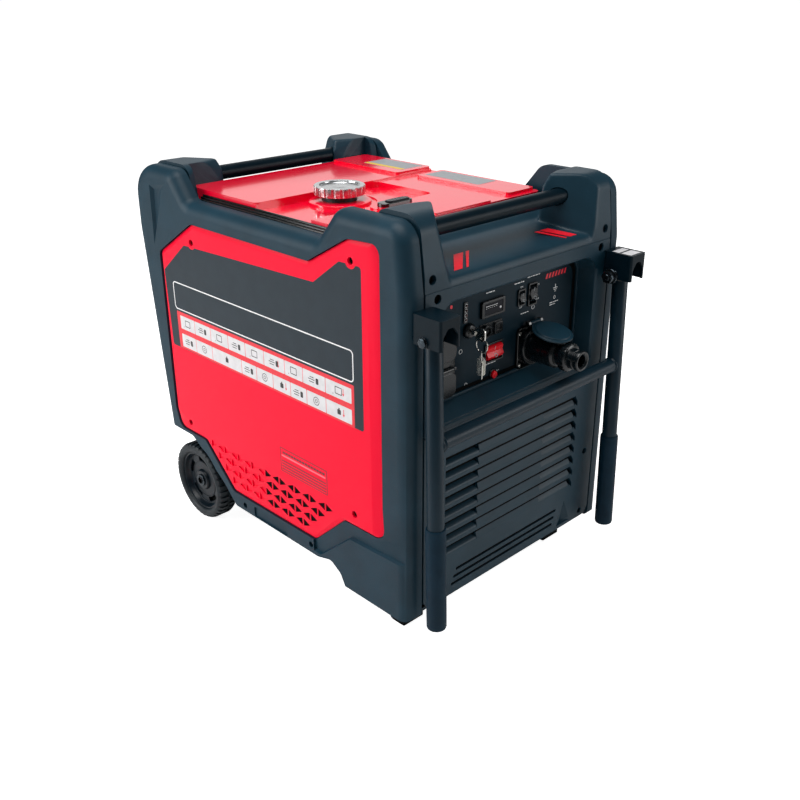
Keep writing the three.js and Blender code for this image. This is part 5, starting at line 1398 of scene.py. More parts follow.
def duplex():
    """Two household outlets on one plate, each with a flip lid on its own hinge."""
    low, high = span("duplex_outlet")
    face, x = high.y - 5, (low.x + high.x) / 2
    hinge_y = face - 3.3
    lids = [(level, *span(level + "_outlet_lid")) for level in ("upper", "lower")]
    plate = slab("y", rectangle(low.x, high.x, low.z, high.z, 5), high.y, face, 1.2, 3)
    for _, _, lid_high in lids:
        hinge_z = lid_high.z - 3
        for end in (-1, 1):
            ear_x = x + end * 19.5
            merge(plate, hull([(ear_x + dx, y, z) for dx in (-2.5, 2.5) for y, z in (
                (face + 1, hinge_z - 3), (face + 1, hinge_z + 3), (hinge_y - 2, hinge_z - 3),
                (hinge_y - 3, hinge_z), (hinge_y - 2, hinge_z + 3))]))
        merge(plate, turned("y", (x, 0, lid_high.z - 28), [
            (0, face + 0.5), (16, face + 0.5), (16, face - 0.5), (15, face - 0.8),
            (0, face - 0.8)], 48))
    finished(plate, "household_outlets", dull_black(), "housing",
             ["duplex_outlet"], 0.3)
    for level, lid_low, lid_high in lids:
        hinge_z, front = lid_high.z - 3, lid_low.y
        cover = slab("y", rectangle(x - 22, x + 22, lid_low.z, hinge_z - 4, 12), front + 4,
                     front, 1.6, 4)
        neck = block(x - 15, x + 15, front + 0.5, front + 4, hinge_z - 9, hinge_z)
        barrel = rod("x", (hinge_y, hinge_z), 3, x - 16.7, x + 16.7, 32)
        finished(merge(cover, neck, barrel), level + "_flip_lid", dull_black(), level + "_lid",
                 [level + "_outlet_lid"], 0.4)


OUTLET_LOW, OUTLET_HIGH = span("main_outlet")
OUTLET_X, OUTLET_Z = (OUTLET_LOW.x + OUTLET_HIGH.x) / 2, OUTLET_LOW.z + 38
OUTLET_FACE = OUTLET_HIGH.y - 5
FLAP_Y, FLAP_Z = OUTLET_FACE - 4.3, OUTLET_Z + 44  # hinge of the outlet's flap


def main_outlet():
    """The main outlet's flange with the ears of its flap, its collar and its screws."""
    x, z, back, face = OUTLET_X, OUTLET_Z, OUTLET_HIGH.y, OUTLET_FACE
    plate = slab("y", rectangle(x - 38, x + 38, z - 38, z + 38, 8), back, face, 1, 3)
    plate = carve(plate, rod("y", (x, z), 27, face - 5, back - 2, 64))
    collar = turned("y", (x, 0, z), [
        (26.3, back - 2), (26.3, face - 9), (31, face - 9), (33, face - 8), (34, face - 6),
        (34, face + 0.5), (27, face + 0.5)], 96)
    for end in (-1, 1):
        ear_x = x + end * 16
        merge(plate, hull([(ear_x + dx, *yz) for dx in (-3, 3) for yz in (
            (face + 1, z + 32), (face + 1, FLAP_Z + 4), (FLAP_Y - 2, FLAP_Z + 4),
            (FLAP_Y - 4, FLAP_Z), (FLAP_Y - 3, FLAP_Z - 4))]))
    finished(plate, "main_outlet_flange", gloss_black(), "housing",
             ["main_outlet"], 0.3)
    finished(collar, "main_outlet_collar", dull_black(), "housing", (), 0.3)
    heads = bmesh.new()
    for dx in (-33, 33):
        for dz in (-30, 29):
            head = turned("y", (x + dx, 0, z + dz), [
                (0, face + 0.5), (3.4, face + 0.5), (3.4, face - 0.8), (2.4, face - 1.9),
                (0, face - 2.3)], 24)
            merge(heads, carve(head, block(x + dx - 4, x + dx + 4, face - 3, face - 1.4,
                                           z + dz - 0.5, z + dz + 0.5)))
    finished(heads, "outlet_screws", key_steel(), "housing")


def locking_plug():
    """The plug with its ribs, the nut of its cable gland and the pins inside."""
    x, z = OUTLET_X, OUTLET_Z
    plug_low, plug_high = span("plug_body")
    nut_low, nut_high = span("plug_gland_nut")
    foot, front = plug_high.y, plug_high.y - 65
    body = turned("y", (x, 0, z), [
        (0, foot), (26, foot), (26, front + 30), (25, front + 28), (25, front + 24),
        (26, front + 22), (26, front + 6), (25, front + 3), (21.5, front), (19, front),
        (18.4, front - 2), (19, front - 4), (18.4, front - 6), (19, front - 8),
        (18.6, plug_low.y), (10, plug_low.y), (10, front + 20), (0, front + 20)], 96)
    rib = slab("y", rectangle(x - 1.6, x + 1.6, z + 20, z + 26, 0.5), front + 30, front + 62)
    ribs = around(rib, "y", (x, 0, z), 10)
    finished(merge(body, ribs), "locking_plug", dull_black(), "housing",
             ["plug_body"], 0.3)
    low, high = nut_low.y, nut_high.y
    nut = turned("y", (x, 0, z), [
        (11, high), (11, low + 3), (13.4, low + 0.6), (14, low), (16.6, low), (17.6, low + 1),
        (18, low + 3), (18, low + 8), (16, low + 9.4), (16, low + 11), (17.6, low + 12),
        (18, high - 15), (21.4, high - 14.4), (23.4, high - 13), (24, high - 11),
        (24, high - 1.5), (23, high)], 96)
    tooth = slab("y", rectangle(x - 2.0, x + 2.0, z + 21.5, z + 24.95, 0.9), high - 12.5, high - 1)
    nut = merge(nut, around(tooth, "y", (x, 0, z), 20))
    finished(nut, "cable_gland", dull_black(), "housing", ["plug_gland_nut"], 0.3)
    pin = slab("y", rectangle(x - 1.8, x + 1.8, z + 4.4, z + 6, 0.3), front + 4, front + 20)
    pins = around(pin, "y", (x, 0, z), 3)
    finished(pins, "gland_pins", zinc_steel(), "housing")
    # A black disc in the gland's bore: painted shade.
    shade_sheet = turned("y", (x, 0, z), [(0, front + 19), (9.8, front + 19), (9.8, front + 19.5),
                                     (0, front + 19.5)], 48)
    shade_piece(shade_sheet, "gland_shade_sheet")


def outlet_flap():
    """The flap over the main outlet, resting on the plug."""
    reach, drop = 76, FLAP_Z - 2.3 - (OUTLET_Z + 25)
    lift = math.degrees(math.asin(drop / reach))
    disc = turned("z", (0, -40, 0), [
        (0, -2), (34.5, -2), (36, -0.6), (36, 1.2), (35, 2), (31.5, 2), (30.5, 4),
        (28, 4.9), (0, 4.9)], 96)
    neck = slab("z", rectangle(-9, 9, -16, 0, 1), -2, 2)
    barrel = rod("x", (0, 0), 4, -12.7, 12.7, 32)
    bm = merge(disc, neck, barrel)
    turn(bm, "x", (0, 0, 0), lift)
    bmesh.ops.translate(bm, verts=bm.verts, vec=(OUTLET_X, FLAP_Y, FLAP_Z))
    finished(bm, "outlet_flap_disc", smooth_abs(), "outlet_flap",
             ["outlet_flap"], 0.3)


def lettering(words, x, z, height, y):
    """Words as a thin raised print on the control panel."""
    text = bpy.data.curves.new("words", "FONT")
    text.body = words
    text.size = height * 1.4
    text.extrude = 0.06
    text.resolution_u = 3
    holder = linked("words", text)
    bpy.context.view_layer.update()
    mesh = bpy.data.meshes.new_from_object(
        holder.evaluated_get(bpy.context.evaluated_depsgraph_get()))
    bm = bmesh.new()
    bm.from_mesh(mesh)
    bpy.data.objects.remove(holder)
    bpy.data.curves.remove(text)
    bpy.data.meshes.remove(mesh)
    bmesh.ops.rotate(bm, verts=bm.verts, matrix=Matrix.Rotation(math.pi / 2, 3, "X"))
    bmesh.ops.translate(bm, verts=bm.verts, vec=(x, y, z))
    return tidy(bm)


def patch(corners):
    """A printed patch on the control panel."""
    return slab("y", corners, PRINT_BACK, PRINT_FACE)


def print_line(x, z, width, height=1.6):
    """A row of short bars the size of small words, in the panel's plane."""
    whole = bmesh.new()
    end = x + width
    while x < end - 1:
        word = min(3.4 + 2.2 * (int(x * 7) % 3), end - x)
        merge(whole, patch(rectangle(x, x + word, z, z + height, 0.5)))
        x += word + 1.4
    return whole


def print_ring(x, z, radius, line=0.8):
    inner = radius - line
    return turned("y", (x, 0, z), [(inner, PRINT_BACK), (radius, PRINT_BACK),
                                   (radius, PRINT_FACE), (inner, PRINT_FACE)], 32)


def panel_print():
    """ON and OFF words, rings and plain bars of the control panel's print."""
    whole = bmesh.new()
    engine, idle, breaker = (rocker_place(n)[0] for n in ROCKERS)
    for words, x, z in (
            ("ON", engine.x - 2.4, engine.z + 17), ("OFF", engine.x - 3.4, engine.z - 19.5),
            ("ON", idle.x + 13, idle.z + 12), ("OFF", idle.x + 13, idle.z - 14),
            ("ON", breaker.x + 17, breaker.z + 8), ("OFF", breaker.x + 17, breaker.z - 11)):
        merge(whole, lettering(words, x, z, 3, PRINT_FACE))
    for x, z, width in ((-56, 587, 21), (16, 586.5, 25), (50, 591, 36), (-55, 460, 30),
                        (-45, 513, 24), (-30, 441.5, 14), (-30, 438, 10), (36, 529, 21),
                        (116, 530, 24), (116, 526, 16), (-150, 478, 16), (-150, 474.5, 12)):
        merge(whole, print_line(x, z, width))
    for x, z, radius in ((-82.5, 527.5, 6), (-82.5, 527.5, 3), (-115, 502, 4), (-117.5, 434, 4),
                         (-100, 439, 3.4), (69, 535, 4), (129, 539, 3)):
        merge(whole, print_ring(x, z, radius))
    earth = [patch(rectangle(130 - w, 130 + w, z, z + 1.2, 0.3))
             for w, z in ((6, 556), (4, 552.8), (2, 549.6))]
    post = patch(rectangle(129.3, 130.7, 557, 563, 0.3))
    printed(merge(whole, post, *earth), "panel_print", white_ink())
    accents = turned("y", (-139, 0, 584), [(0, PRINT_BACK), (3, PRINT_BACK), (3, PRINT_FACE),
                                           (0, PRINT_FACE)], 24)
    for k in range(7):
        x = 100 + k * 8.6
        merge(accents, patch([(x, 578), (x + 4.6, 578), (x + 7.6, 587), (x + 3, 587)]))
    printed(accents, "panel_accents", red_ink())


# ---- Pull handle ------------------------------------------------------------

ARM_LENGTH = BOLT.z - 60
TUBE_RADIUS = 14


def hang(bm):
    """Move a body drawn hanging straight down from the pivots into its place at rest."""
    turn(bm, "x", (0, 0, 0), -math.degrees(math.asin(TUBE_RADIUS / ARM_LENGTH)))
    bmesh.ops.translate(bm, verts=bm.verts, vec=(0, BOLT.y, BOLT.z))
    return bm


def pull_handle():
    """Two arms with grips and black caps at the pivots, which paint the shade inside the brackets,
    and the bar welded between them.
    """
    radius = TUBE_RADIUS
    for side, name in SIDES:
        tube = turned("z", (ARM_X, 0, 0), [
            (0, 4 - ARM_LENGTH), (radius, 4 - ARM_LENGTH), (radius, 9), (radius - 1, 10.6),
            (radius - 2.5, 11), (0, 11)], 96)
        finished(hang(mirrored(tube, side)), "handle_tube_" + name, coated_steel(),
                 "pull_handle", ["arm_" + name])
        # A black cap over the tube's top end: the pivot end, in black as painted shade inside the
        # bracket.
        shade_cap = turned("z", (ARM_X, 0, 0), [
            (0, -12), (radius + 0.4, -12), (radius + 0.4, 7), (radius - 2, 11),
            (radius - 6, 12.5), (0, 12.8)], 96)
        finished(hang(mirrored(shade_cap, side)), "handle_shade_cap_" + name, dull_black(), "pull_handle")
        sleeve = turned("z", (ARM_X, 0, 0), [(r, h - ARM_LENGTH) for r, h in (
            (0, 0), (13, 0), (16, 1.2), (17, 4), (17, 186), (16.6, 188.5), (16.9, 190),
            (16, 192), (14.2, 192), (14.2, 3.8), (0, 3.8))], 96)
        finished(hang(mirrored(sleeve, side)), "grip_sleeve_" + name, grip_rubber(),
                 "pull_handle", ["grip_" + name])
    bar = rod("x", (0, -174), 13, -ARM_X + 8, ARM_X - 8, 96)
    weld = turned("x", (0, 0, -174), [(12.5, ARM_X - 16), (15, ARM_X - 13.4),
                                      (14.6, ARM_X - 12), (12.5, ARM_X - 10)], 64)
    finished(hang(merge(bar, both_sides(weld))), "handle_crossbar", coated_steel(),
             "pull_handle", ["crossbar"])


def bracket(side, name):
    """A box bracket on the front, open below, with a slot for the arm."""
    low, high = BRACKET_LOW, BRACKET_HIGH
    wall, half = 4, 16  # of the pressed steel and of the arm's slot
    body = slab("z", rectangle(low.x, high.x, low.y, high.y, 4), low.z, high.z)
    hollow = slab("z", rectangle(low.x + wall, high.x - wall, low.y + wall, high.y - wall, 2),
                  low.z - 5, high.z - wall)
    notch = slab("y", [(ARM_X - half, low.z - 1), (ARM_X + half, low.z - 1),
                       (ARM_X + half, BOLT.z + 13, 9), (ARM_X + 6, BOLT.z + 26, 6),
                       (ARM_X - 6, BOLT.z + 26, 6), (ARM_X - half, BOLT.z + 13, 9)],
                 low.y - 1, low.y + wall + 1)
    bolt_hole = rod("x", (BOLT.y, BOLT.z), 5.4, low.x - 2, high.x + 2, 32)
    finished(mirrored(carve(body, hollow, notch, bolt_hole), side), "bracket_box_" + name,
             shaded_powder_coat(), "housing", ["handle_bracket_" + name], 1.6, 4)
    # A black sheet at the back of the box: painted shade inside the bracket.
    inside = slab("z", rectangle(low.x + wall + 0.2, high.x - wall - 0.2, high.y - wall - 1.5,
                                 high.y - wall - 0.2), low.z + 1, high.z - wall - 0.4)
    shade_piece(mirrored(inside, side), "bracket_shade_sheet_" + name)


def pivot_bolt(side, name):
    """A bolt with its nuts and washers; the right one reaches further in to a large nut."""
    inner, outer = BRACKET_LOW.x, BRACKET_HIGH.x
    at = (BOLT.y, BOLT.z)
    bolt = rod("x", at, 6, inner - (25 if side > 0 else 4), outer + 4, 32)
    if side > 0:
        nut = slab("x", hexagon(*at, 12), inner - 22, inner - 13)
        merge(bolt, rod("x", at, 13.5, inner - 12.6, inner - 9.4, 48, 0.7),
              rod("x", at, 10.5, inner - 9, inner - 6, 48, 0.7), soften(nut, 1, 2))
    for x0, x1 in ((outer + 1.8, outer + 5.3), (inner - 5.3, inner - 1.6)):
        merge(bolt, soften(slab("x", hexagon(*at, 8.2), x0, x1), 0.6, 2))
    for x0, x1 in ((outer + 0.3, outer + 1.7), (inner - 1.5, inner - 0.3)):
        merge(bolt, rod("x", at, 8.5, x0, x1, 40, 0.3))
    finished(mirrored(bolt, side), "hex_bolt_" + name, black_oxide(), "housing",
             ["pivot_bolt_" + name])


def handle_brackets():
    """Both brackets with their pivot bolts, and the stickers on the right one."""
    for side, name in SIDES:
        bracket(side, name)
        pivot_bolt(side, name)
    low, high = BRACKET_LOW, BRACKET_HIGH
    stickers = [slab("z", rectangle(low.x + 5, high.x - 7, low.y + y0, low.y + y1, 1.5),
                     high.z - 0.3, high.z + 0.15) for y0, y1 in ((6, 26), (31, 45))]
    printed(merge(*stickers), "bracket_stickers", label_paper())


# ---- Wheels, axle and feet --------------------------------------------------


def tyre(side, name):
    """A tyre with a rib between two rows of lugs, and a raised ring on each wall."""
    half = WHEEL_HALF
    wall = [(63.3, 6), (65.5, 2.6), (68.5, 0.8), (72, 0), (76, 0.8), (79, 3), (80.4, 6.5),
            (81, 10)]
    carcass = turned("x", WHEEL, [(radius, off - half) for radius, off in wall]
                     + [(radius, half - off) for radius, off in reversed(wall)], 128)
    lugs = bmesh.new()
    for end in (-1, 1):
        lug = hull([(WHEEL.x + end * x, WHEEL.y + y, WHEEL.z + z) for x, y, z in (
            (2.4, -4.2, 80.6), (2.4, 4.2, 80.6), (half - 0.9, -4.4, 76), (half - 0.9, 4.4, 76),
            (2.4, -3.6, 83.9), (2.4, 3.6, 83.9), (half - 9, -3.8, 83.9), (half - 9, 3.8, 83.9),
            (half - 3.4, -3.9, 81.2), (half - 3.4, 3.9, 81.2))])
        offset = math.pi / sizes().lugs if end > 0 else 0
        merge(lugs, around(lug, "x", WHEEL, sizes().lugs, offset))
    rib = turned("x", WHEEL, [(80.5, -1.4), (83.4, -1), (83.4, 1), (80.5, 1.4)], 128)
    rings = merge(
        turned("x", WHEEL, [(71.5, half - 0.6), (72.3, half - 0.05), (73.7, half - 0.05),
                            (74.5, half - 0.6)], 128),
        turned("x", WHEEL, [(71.5, 0.6 - half), (74.5, 0.6 - half), (73.7, 0.05 - half),
                            (72.3, 0.05 - half)], 128))
    finished(mirrored(merge(carcass, lugs, rib, rings), side), "tyre_with_tread_" + name,
             tyre_rubber(), "wheel_" + name, ["tyre_" + name])


def rim(side, name):
    """A moulded wheel centre with five openings, and a black disc behind them: painted shade seen
    through them.
    """
    h, hub = WHEEL_HALF - 7, WHEEL_HALF - 10.3
    centre = turned("x", WHEEL, [
        (8.4, -hub), (20, -hub), (22, 2 - hub), (23, -3), (40, -2), (55, -2), (57.5, -5),
        (58.5, 2 - h), (60, -h), (63, -h), (63, h), (60, h), (58.5, h - 2), (57.5, 9),
        (55, 6), (53.4, 6), (52.9, 7), (52, 7), (51.5, 6), (40.5, 6), (40, 7), (39, 7),
        (38.5, 6), (23, 7), (22, hub - 2), (20, hub), (8.4, hub)], 128)
    openings = []
    for k in range(5):
        arc = turned("x", WHEEL, [(41, -12), (51, -12), (51, 16), (41, 16)], 20,
                     math.radians(40))
        bmesh.ops.holes_fill(arc, edges=arc.edges, sides=0)
        openings.append(tidy(turn(arc, "x", WHEEL, k * 72)))
    finished(mirrored(carve(centre, *openings), side), "wheel_centre_" + name, rim_nylon(),
             "wheel_" + name, ["rim_" + name], 0.8)
    disc = turned("x", WHEEL, [(38, -1.5), (54, -1.5), (54, -1), (38, -1)], 96)
    finished(mirrored(disc, side), "wheel_shade_disc_" + name, shade_black(), "wheel_" + name)


def wheels():
    for side, name in SIDES:
        tyre(side, name)
        rim(side, name)


def axle():
    y, z, end = WHEEL.y, WHEEL.z, span("axle")[1].x
    bm = rod("x", (y, z), 8, -end, end, 64)
    for side, _ in SIDES:
        washer = rod("x", (y, z), 13, side * (end - 4), side * (end - 1.2), 48, 0.5)
        head = slab("x", hexagon(y, z, 9), side * (end - 1.4), side * end)
        merge(bm, washer, head)
    finished(bm, "axle_rod", black_oxide(), "housing", ["axle"], 0.4)


def feet():
    low, high = span("foot_right")
    for side, name in SIDES:
        bm = slab("z", [(low.x, low.y, 3), (high.x, low.y, 3), (high.x, high.y, 24),
                        (low.x, high.y, 3)], low.z, high.z)
        grooves = [block(low.x - 2, low.x + 1.6, low.y - 2, high.y + 2, z, z + 3)
                   for z in (16, 26, 36)]
        bm = carve(bm, *grooves)
        finished(mirrored(bm, side), "rubber_foot_" + name, foot_rubber(), "housing",
                 ["foot_" + name], 1.2)


# ---- Rear cover and exhaust -------------------------------------------------

PIPE_X, PIPE_R = 120, 18


def rear_cover():
    """The sloping rear panel with eight slots and blades, and the tailpipe through it."""
    low, high = REAR_COVER_LOW, REAR_COVER_HIGH
    muffler_low, muffler_high = span("muffler")
    pipe_z = muffler_low.z + 223
    path = [(high.y, high.z), (low.y + 4, low.z)]
    width = panel_half()
    bm = slab("x", strip_outline(path, 4), -width, width)
    cuts = [rod("y", (PIPE_X, pipe_z), PIPE_R + 9, 300, REAR + 5, 64)]
    blades = bmesh.new()
    slope = (high.y - low.y - 4) / (high.z - low.z)
    half = INNER - 60
    for k in range(8):
        z = low.z + 30 + k * 24.6
        right = 50 if z > pipe_z - 70 else half
        cuts.append(slab("y", rectangle(-half, right, z, z + 9, 4), 300, REAR + 5))
        face = low.y + 4 + (z - low.z) * slope
        blade = slab("x", strip_outline([(face - 1, z + 12), (face - 15, z + 2)], 2.4),
                     -half + 1, right - 1)
        merge(blades, blade)
    finished(carve(bm, *cuts), "rear_panel", smooth_abs(), "housing",
             ["rear_cover"], edge_width())
    finished(blades, "rear_blades", smooth_abs(), "housing", (), 0.5)
    # A black sheet behind the slots: painted shade for the inside of the rear cover.
    shade = slab("x", strip_outline([(high.y - 24, high.z - 40), (low.y - 16, low.z + 10)], 1),
                 -half - 4, half + 4)
    shade_piece(shade, "rear_shade_backdrop")
    end = muffler_high.y
    collar_y = low.y + 4 + (pipe_z - low.z) * slope
    pipe = turned("y", (PIPE_X, 0, pipe_z), [
        (15.5, end - 66), (15.5, end - 1), (16, end), (17.5, end), (18, end - 0.6),
        (18, end - 80), (15.5, end - 80)], 64)
    flange = turned("y", (PIPE_X, 0, pipe_z), [
        (18, collar_y - 6), (26.5, collar_y - 6), (26.5, collar_y - 3), (20, collar_y - 2),
        (18, collar_y + 1)], 64)
    can = slab("z", rectangle(-140, 140, 250, muffler_high.y - 80, 25), muffler_low.z,
               muffler_low.z + 250)
    finished(merge(pipe, flange, soften(can, 8, 3)), "silencer_and_tailpipe", exhaust_steel(),
             "housing", ["muffler"], 0.4)


def inner_parts():
    """Finishes of the frame's own nodes inside and under the housing."""
    # The inverter module takes the matt black of painted shade, as it stands in the dark inside
    # the housing.
    for node, material in (
            ("base_pan", coated_steel()), ("fuel_tank", tank_plastic()),
            ("engine_block", cast_alloy()), ("alternator_stator", winding_copper()),
            ("crankshaft", zinc_steel()), ("inverter_module", shade_black()),
            ("axle_bracket_left", coated_steel()), ("axle_bracket_right", coated_steel())):
        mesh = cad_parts[node].data
        mesh.materials.clear()
        mesh.materials.append(material)


# ---- Stage ------------------------------------------------------------------


def soft_box(name, at, aim, size, watts, shade=(1, 1, 1)):
    light = bpy.data.lights.new(name, "AREA")
    light.energy, light.size, light.color = watts, size, shade
    lamp = linked(name, light)
    lamp.location = at
    lamp.rotation_euler = (Vector(aim) - Vector(at)).to_track_quat("-Z", "Y").to_euler()


def stage():
    scene = bpy.context.scene
    scene.view_settings.view_transform = "Standard"
    bm = bmesh.new()
    bmesh.ops.create_grid(bm, x_segments=1, y_segments=1, size=60)
    floor = as_object(bm, "floor")
    bm.free()
    floor.data.materials.append(floor_paint())
    world = bpy.data.worlds.new("Studio")
    scene.world = world
    world.use_nodes = True
    tree = world.node_tree
    path = add_node(tree, "ShaderNodeLightPath")
    seen = add_node(tree, "ShaderNodeMath", {
        0: path.outputs["Is Camera Ray"], 1: path.outputs["Is Transmission Ray"]},
        operation="MAXIMUM")
    strength = add_node(tree, "ShaderNodeMapRange", {
        "Value": seen.outputs["Value"], "To Min": 0.12, "To Max": 1.05})
    tree.links.new(strength.outputs["Result"], tree.nodes["Background"].inputs["Strength"])
    tree.nodes["Background"].inputs["Color"].default_value = (1, 1, 1, 1)
    soft_box("Left", (-2.9, 1.8, 1.5), (0, 0, 0.35), 2.0, 86)
    soft_box("Back", (2.0, 2.1, 2.0), (0, 0, 0.7), 3.0, 19)
    soft_box("Top", (-0.6, -0.2, 3.2), (0, 0, 0.6), 2.0, 78)
    soft_box("Front", (2.1, -2.9, 1.2), (0, -0.2, 0.35), 1.6, 36)
    camera()


def floor_paint():
    # White seamless paper: matt, with the object's soft shadow on it.
    made = bpy.data.materials.new("White paper")
    made.use_nodes = True
    tree = made.node_tree
    principled = tree.nodes["Principled BSDF"]
    principled.inputs["Base Color"].default_value = (0.93, 0.93, 0.93, 1)
    principled.inputs["Roughness"].default_value = 1.0
    path = add_node(tree, "ShaderNodeLightPath")
    glow = add_node(tree, "ShaderNodeMapRange", {
        "Value": path.outputs["Is Camera Ray"], "To Min": 0.0, "To Max": 0.9})
    tree.links.new(glow.outputs["Result"], principled.inputs["Emission Strength"])
    principled.inputs["Emission Color"].default_value = (1, 1, 1, 1)
    return made


def camera():
    data = bpy.data.cameras.new("camera")
    data.lens, data.sensor_width = 42.53, 36  # millimetres
    made = linked("camera", data)
    yaw, pitch, roll = (math.radians(a) for a in (46.05 - 90, 90 - 24.326, -0.268))
    turned_to = (Matrix.Rotation(yaw, 4, "Z") @ Matrix.Rotation(pitch, 4, "X")
                 @ Matrix.Rotation(roll, 4, "Z"))
    made.matrix_world = Matrix.Translation((-1.18022, -1.26854, 1.06405)) @ turned_to
    bpy.context.scene.camera = made


# ---- Operators and panel ----------------------------------------------------


class GENERATOR_OT_side_frames(bpy.types.Operator):
    """Add both thick side frames of the housing."""
    bl_idname = "generator.side_frames"
    bl_label = "Side frames"

    def execute(self, context):
        for side, name in SIDES:
            side_frame(side, name)
        return {"FINISHED"}


class GENERATOR_OT_side_covers(bpy.types.Operator):
    """Add the red side covers with vents, labels and screws."""
    bl_idname = "generator.side_covers"
    bl_label = "Red side covers"

    def execute(self, context):
        for side, name in SIDES:
            side_cover(side, name)
            cover_labels(side, name)
            cover_plate_and_screws(side, name)
        return {"FINISHED"}


class GENERATOR_OT_end_covers(bpy.types.Operator):
    """Add the front and rear shelf with the horns for the lift bars."""
    bl_idname = "generator.end_covers"
    bl_label = "Shelves and horns"

    def execute(self, context):
        end_covers()
        shelf_stripes()
        return {"FINISHED"}


class GENERATOR_OT_lift_bars(bpy.types.Operator):
    """Add both lift bars."""
    bl_idname = "generator.lift_bars"
    bl_label = "Lift bars"

    def execute(self, context):
        lift_bars()
        return {"FINISHED"}


class GENERATOR_OT_red_top(bpy.types.Operator):
    """Add the red top cover with its labels and the rails beside it."""
    bl_idname = "generator.red_top"
    bl_label = "Red top and rails"

    def execute(self, context):
        red_top()
        top_rails()
        return {"FINISHED"}


class GENERATOR_OT_filler(bpy.types.Operator):
    """Add the filler cap and the fuel gauge."""
    bl_idname = "generator.filler"
    bl_label = "Filler cap and gauge"

    def execute(self, context):
        filler_cap()
        gauge()
        return {"FINISHED"}


class GENERATOR_OT_front_panels(bpy.types.Operator):
    """Add the recess bezel, the louvred grille and their screws."""
    bl_idname = "generator.front_panels"
    bl_label = "Bezel and grille"

    def execute(self, context):
        bezel()
        grille()
        panel_screws()
        return {"FINISHED"}


class GENERATOR_OT_control_panel(bpy.types.Operator):
    """Add the control panel with its print."""
    bl_idname = "generator.control_panel"
    bl_label = "Control panel"

    def execute(self, context):
        control_plate()
        panel_print()
        return {"FINISHED"}


class GENERATOR_OT_switches(bpy.types.Operator):
    """Add the rockers and the reset button."""
    bl_idname = "generator.switches"
    bl_label = "Switches"

    def execute(self, context):
        switches()
        return {"FINISHED"}


class GENERATOR_OT_display(bpy.types.Operator):
    """Add the display and the indicator lamps."""
    bl_idname = "generator.display"
    bl_label = "Display and lamps"

    def execute(self, context):
        display()
        indicator_lamps()
        return {"FINISHED"}


class GENERATOR_OT_sockets(bpy.types.Operator):
    """Add the low-voltage sockets and the household outlets with their lids."""
    bl_idname = "generator.sockets"
    bl_label = "Sockets"

    def execute(self, context):
        low_voltage_sockets()
        duplex()
        return {"FINISHED"}


class GENERATOR_OT_key(bpy.types.Operator):
    """Add the ignition lock with its key, ring and tag."""
    bl_idname = "generator.key"
    bl_label = "Key and lock"

    def execute(self, context):
        key_and_lock()
        return {"FINISHED"}


class GENERATOR_OT_main_outlet(bpy.types.Operator):
    """Add the main outlet with its plug, gland and flap."""
    bl_idname = "generator.main_outlet"
    bl_label = "Main outlet"

    def execute(self, context):
        main_outlet()
        locking_plug()
        outlet_flap()
        return {"FINISHED"}


class GENERATOR_OT_pull_handle(bpy.types.Operator):
    """Add the pull handle, its grips, brackets and bolts."""
    bl_idname = "generator.pull_handle"
    bl_label = "Pull handle"

    def execute(self, context):
        pull_handle()
        handle_brackets()
        return {"FINISHED"}


class GENERATOR_OT_wheels(bpy.types.Operator):
    """Add the wheels, the axle and the feet."""
    bl_idname = "generator.wheels"
    bl_label = "Wheels and feet"

    def execute(self, context):
        wheels()
        axle()
        feet()
        return {"FINISHED"}


class GENERATOR_OT_rear_cover(bpy.types.Operator):
    """Add the louvred rear cover and the exhaust."""
    bl_idname = "generator.rear_cover"
    bl_label = "Rear cover"

    def execute(self, context):
        rear_cover()
        return {"FINISHED"}


class GENERATOR_OT_inner_parts(bpy.types.Operator):
    """Give the parts inside the housing their finishes."""
    bl_idname = "generator.inner_parts"
    bl_label = "Inner parts"

    def execute(self, context):
        inner_parts()
        return {"FINISHED"}


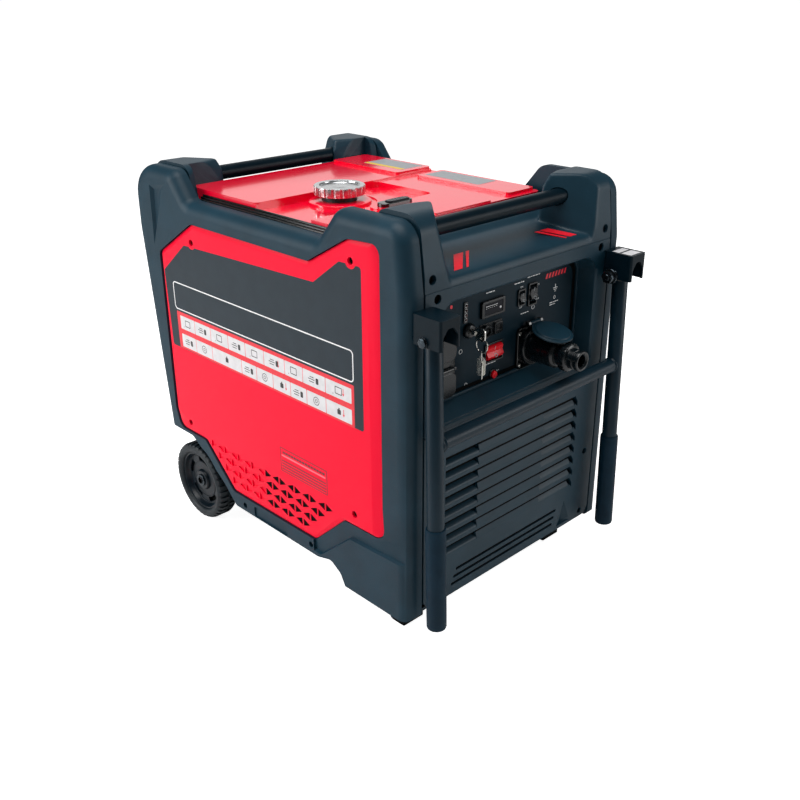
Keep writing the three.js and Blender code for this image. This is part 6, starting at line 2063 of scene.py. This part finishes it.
class GENERATOR_OT_stage(bpy.types.Operator):
    """Add the floor, the lamps and the camera."""
    bl_idname = "generator.stage"
    bl_label = "Stage"

    def execute(self, context):
        stage()
        return {"FINISHED"}


OPERATORS = (
    GENERATOR_OT_side_frames,
    GENERATOR_OT_side_covers,
    GENERATOR_OT_end_covers,
    GENERATOR_OT_lift_bars,
    GENERATOR_OT_red_top,
    GENERATOR_OT_filler,
    GENERATOR_OT_front_panels,
    GENERATOR_OT_control_panel,
    GENERATOR_OT_switches,
    GENERATOR_OT_display,
    GENERATOR_OT_sockets,
    GENERATOR_OT_key,
    GENERATOR_OT_main_outlet,
    GENERATOR_OT_pull_handle,
    GENERATOR_OT_wheels,
    GENERATOR_OT_rear_cover,
    GENERATOR_OT_inner_parts,
    GENERATOR_OT_stage,
)


class GENERATOR_PT_pieces(bpy.types.Panel):
    """Sizes, colours and pieces of the generator"""
    bl_idname = "GENERATOR_PT_pieces"
    bl_label = "Portable Generator"
    bl_space_type = "VIEW_3D"
    bl_region_type = "UI"
    bl_category = "Generator"

    def draw(self, context):
        layout = self.layout
        for group in (context.scene.generator_sizes, context.scene.generator_colours):
            box = layout.box()
            for name in group.bl_rna.properties.keys():
                if name not in ("rna_type", "name"):
                    box.prop(group, name)
        for operator in OPERATORS:
            layout.operator(operator.bl_idname)


CLASSES = (GeneratorColours, GeneratorSizes, *OPERATORS, GENERATOR_PT_pieces)


def register():
    for made in CLASSES:
        bpy.utils.register_class(made)
    bpy.types.Scene.generator_sizes = bpy.props.PointerProperty(type=GeneratorSizes)
    bpy.types.Scene.generator_colours = bpy.props.PointerProperty(type=GeneratorColours)


def unregister():
    del bpy.types.Scene.generator_colours
    del bpy.types.Scene.generator_sizes
    for made in reversed(CLASSES):
        bpy.utils.unregister_class(made)


def main():
    """Register the add-on and build every piece."""
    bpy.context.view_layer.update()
    register()
    for operator in OPERATORS:
        group, name = operator.bl_idname.split(".")
        getattr(getattr(bpy.ops, group), name)()


if __name__ == "__main__":
    main()
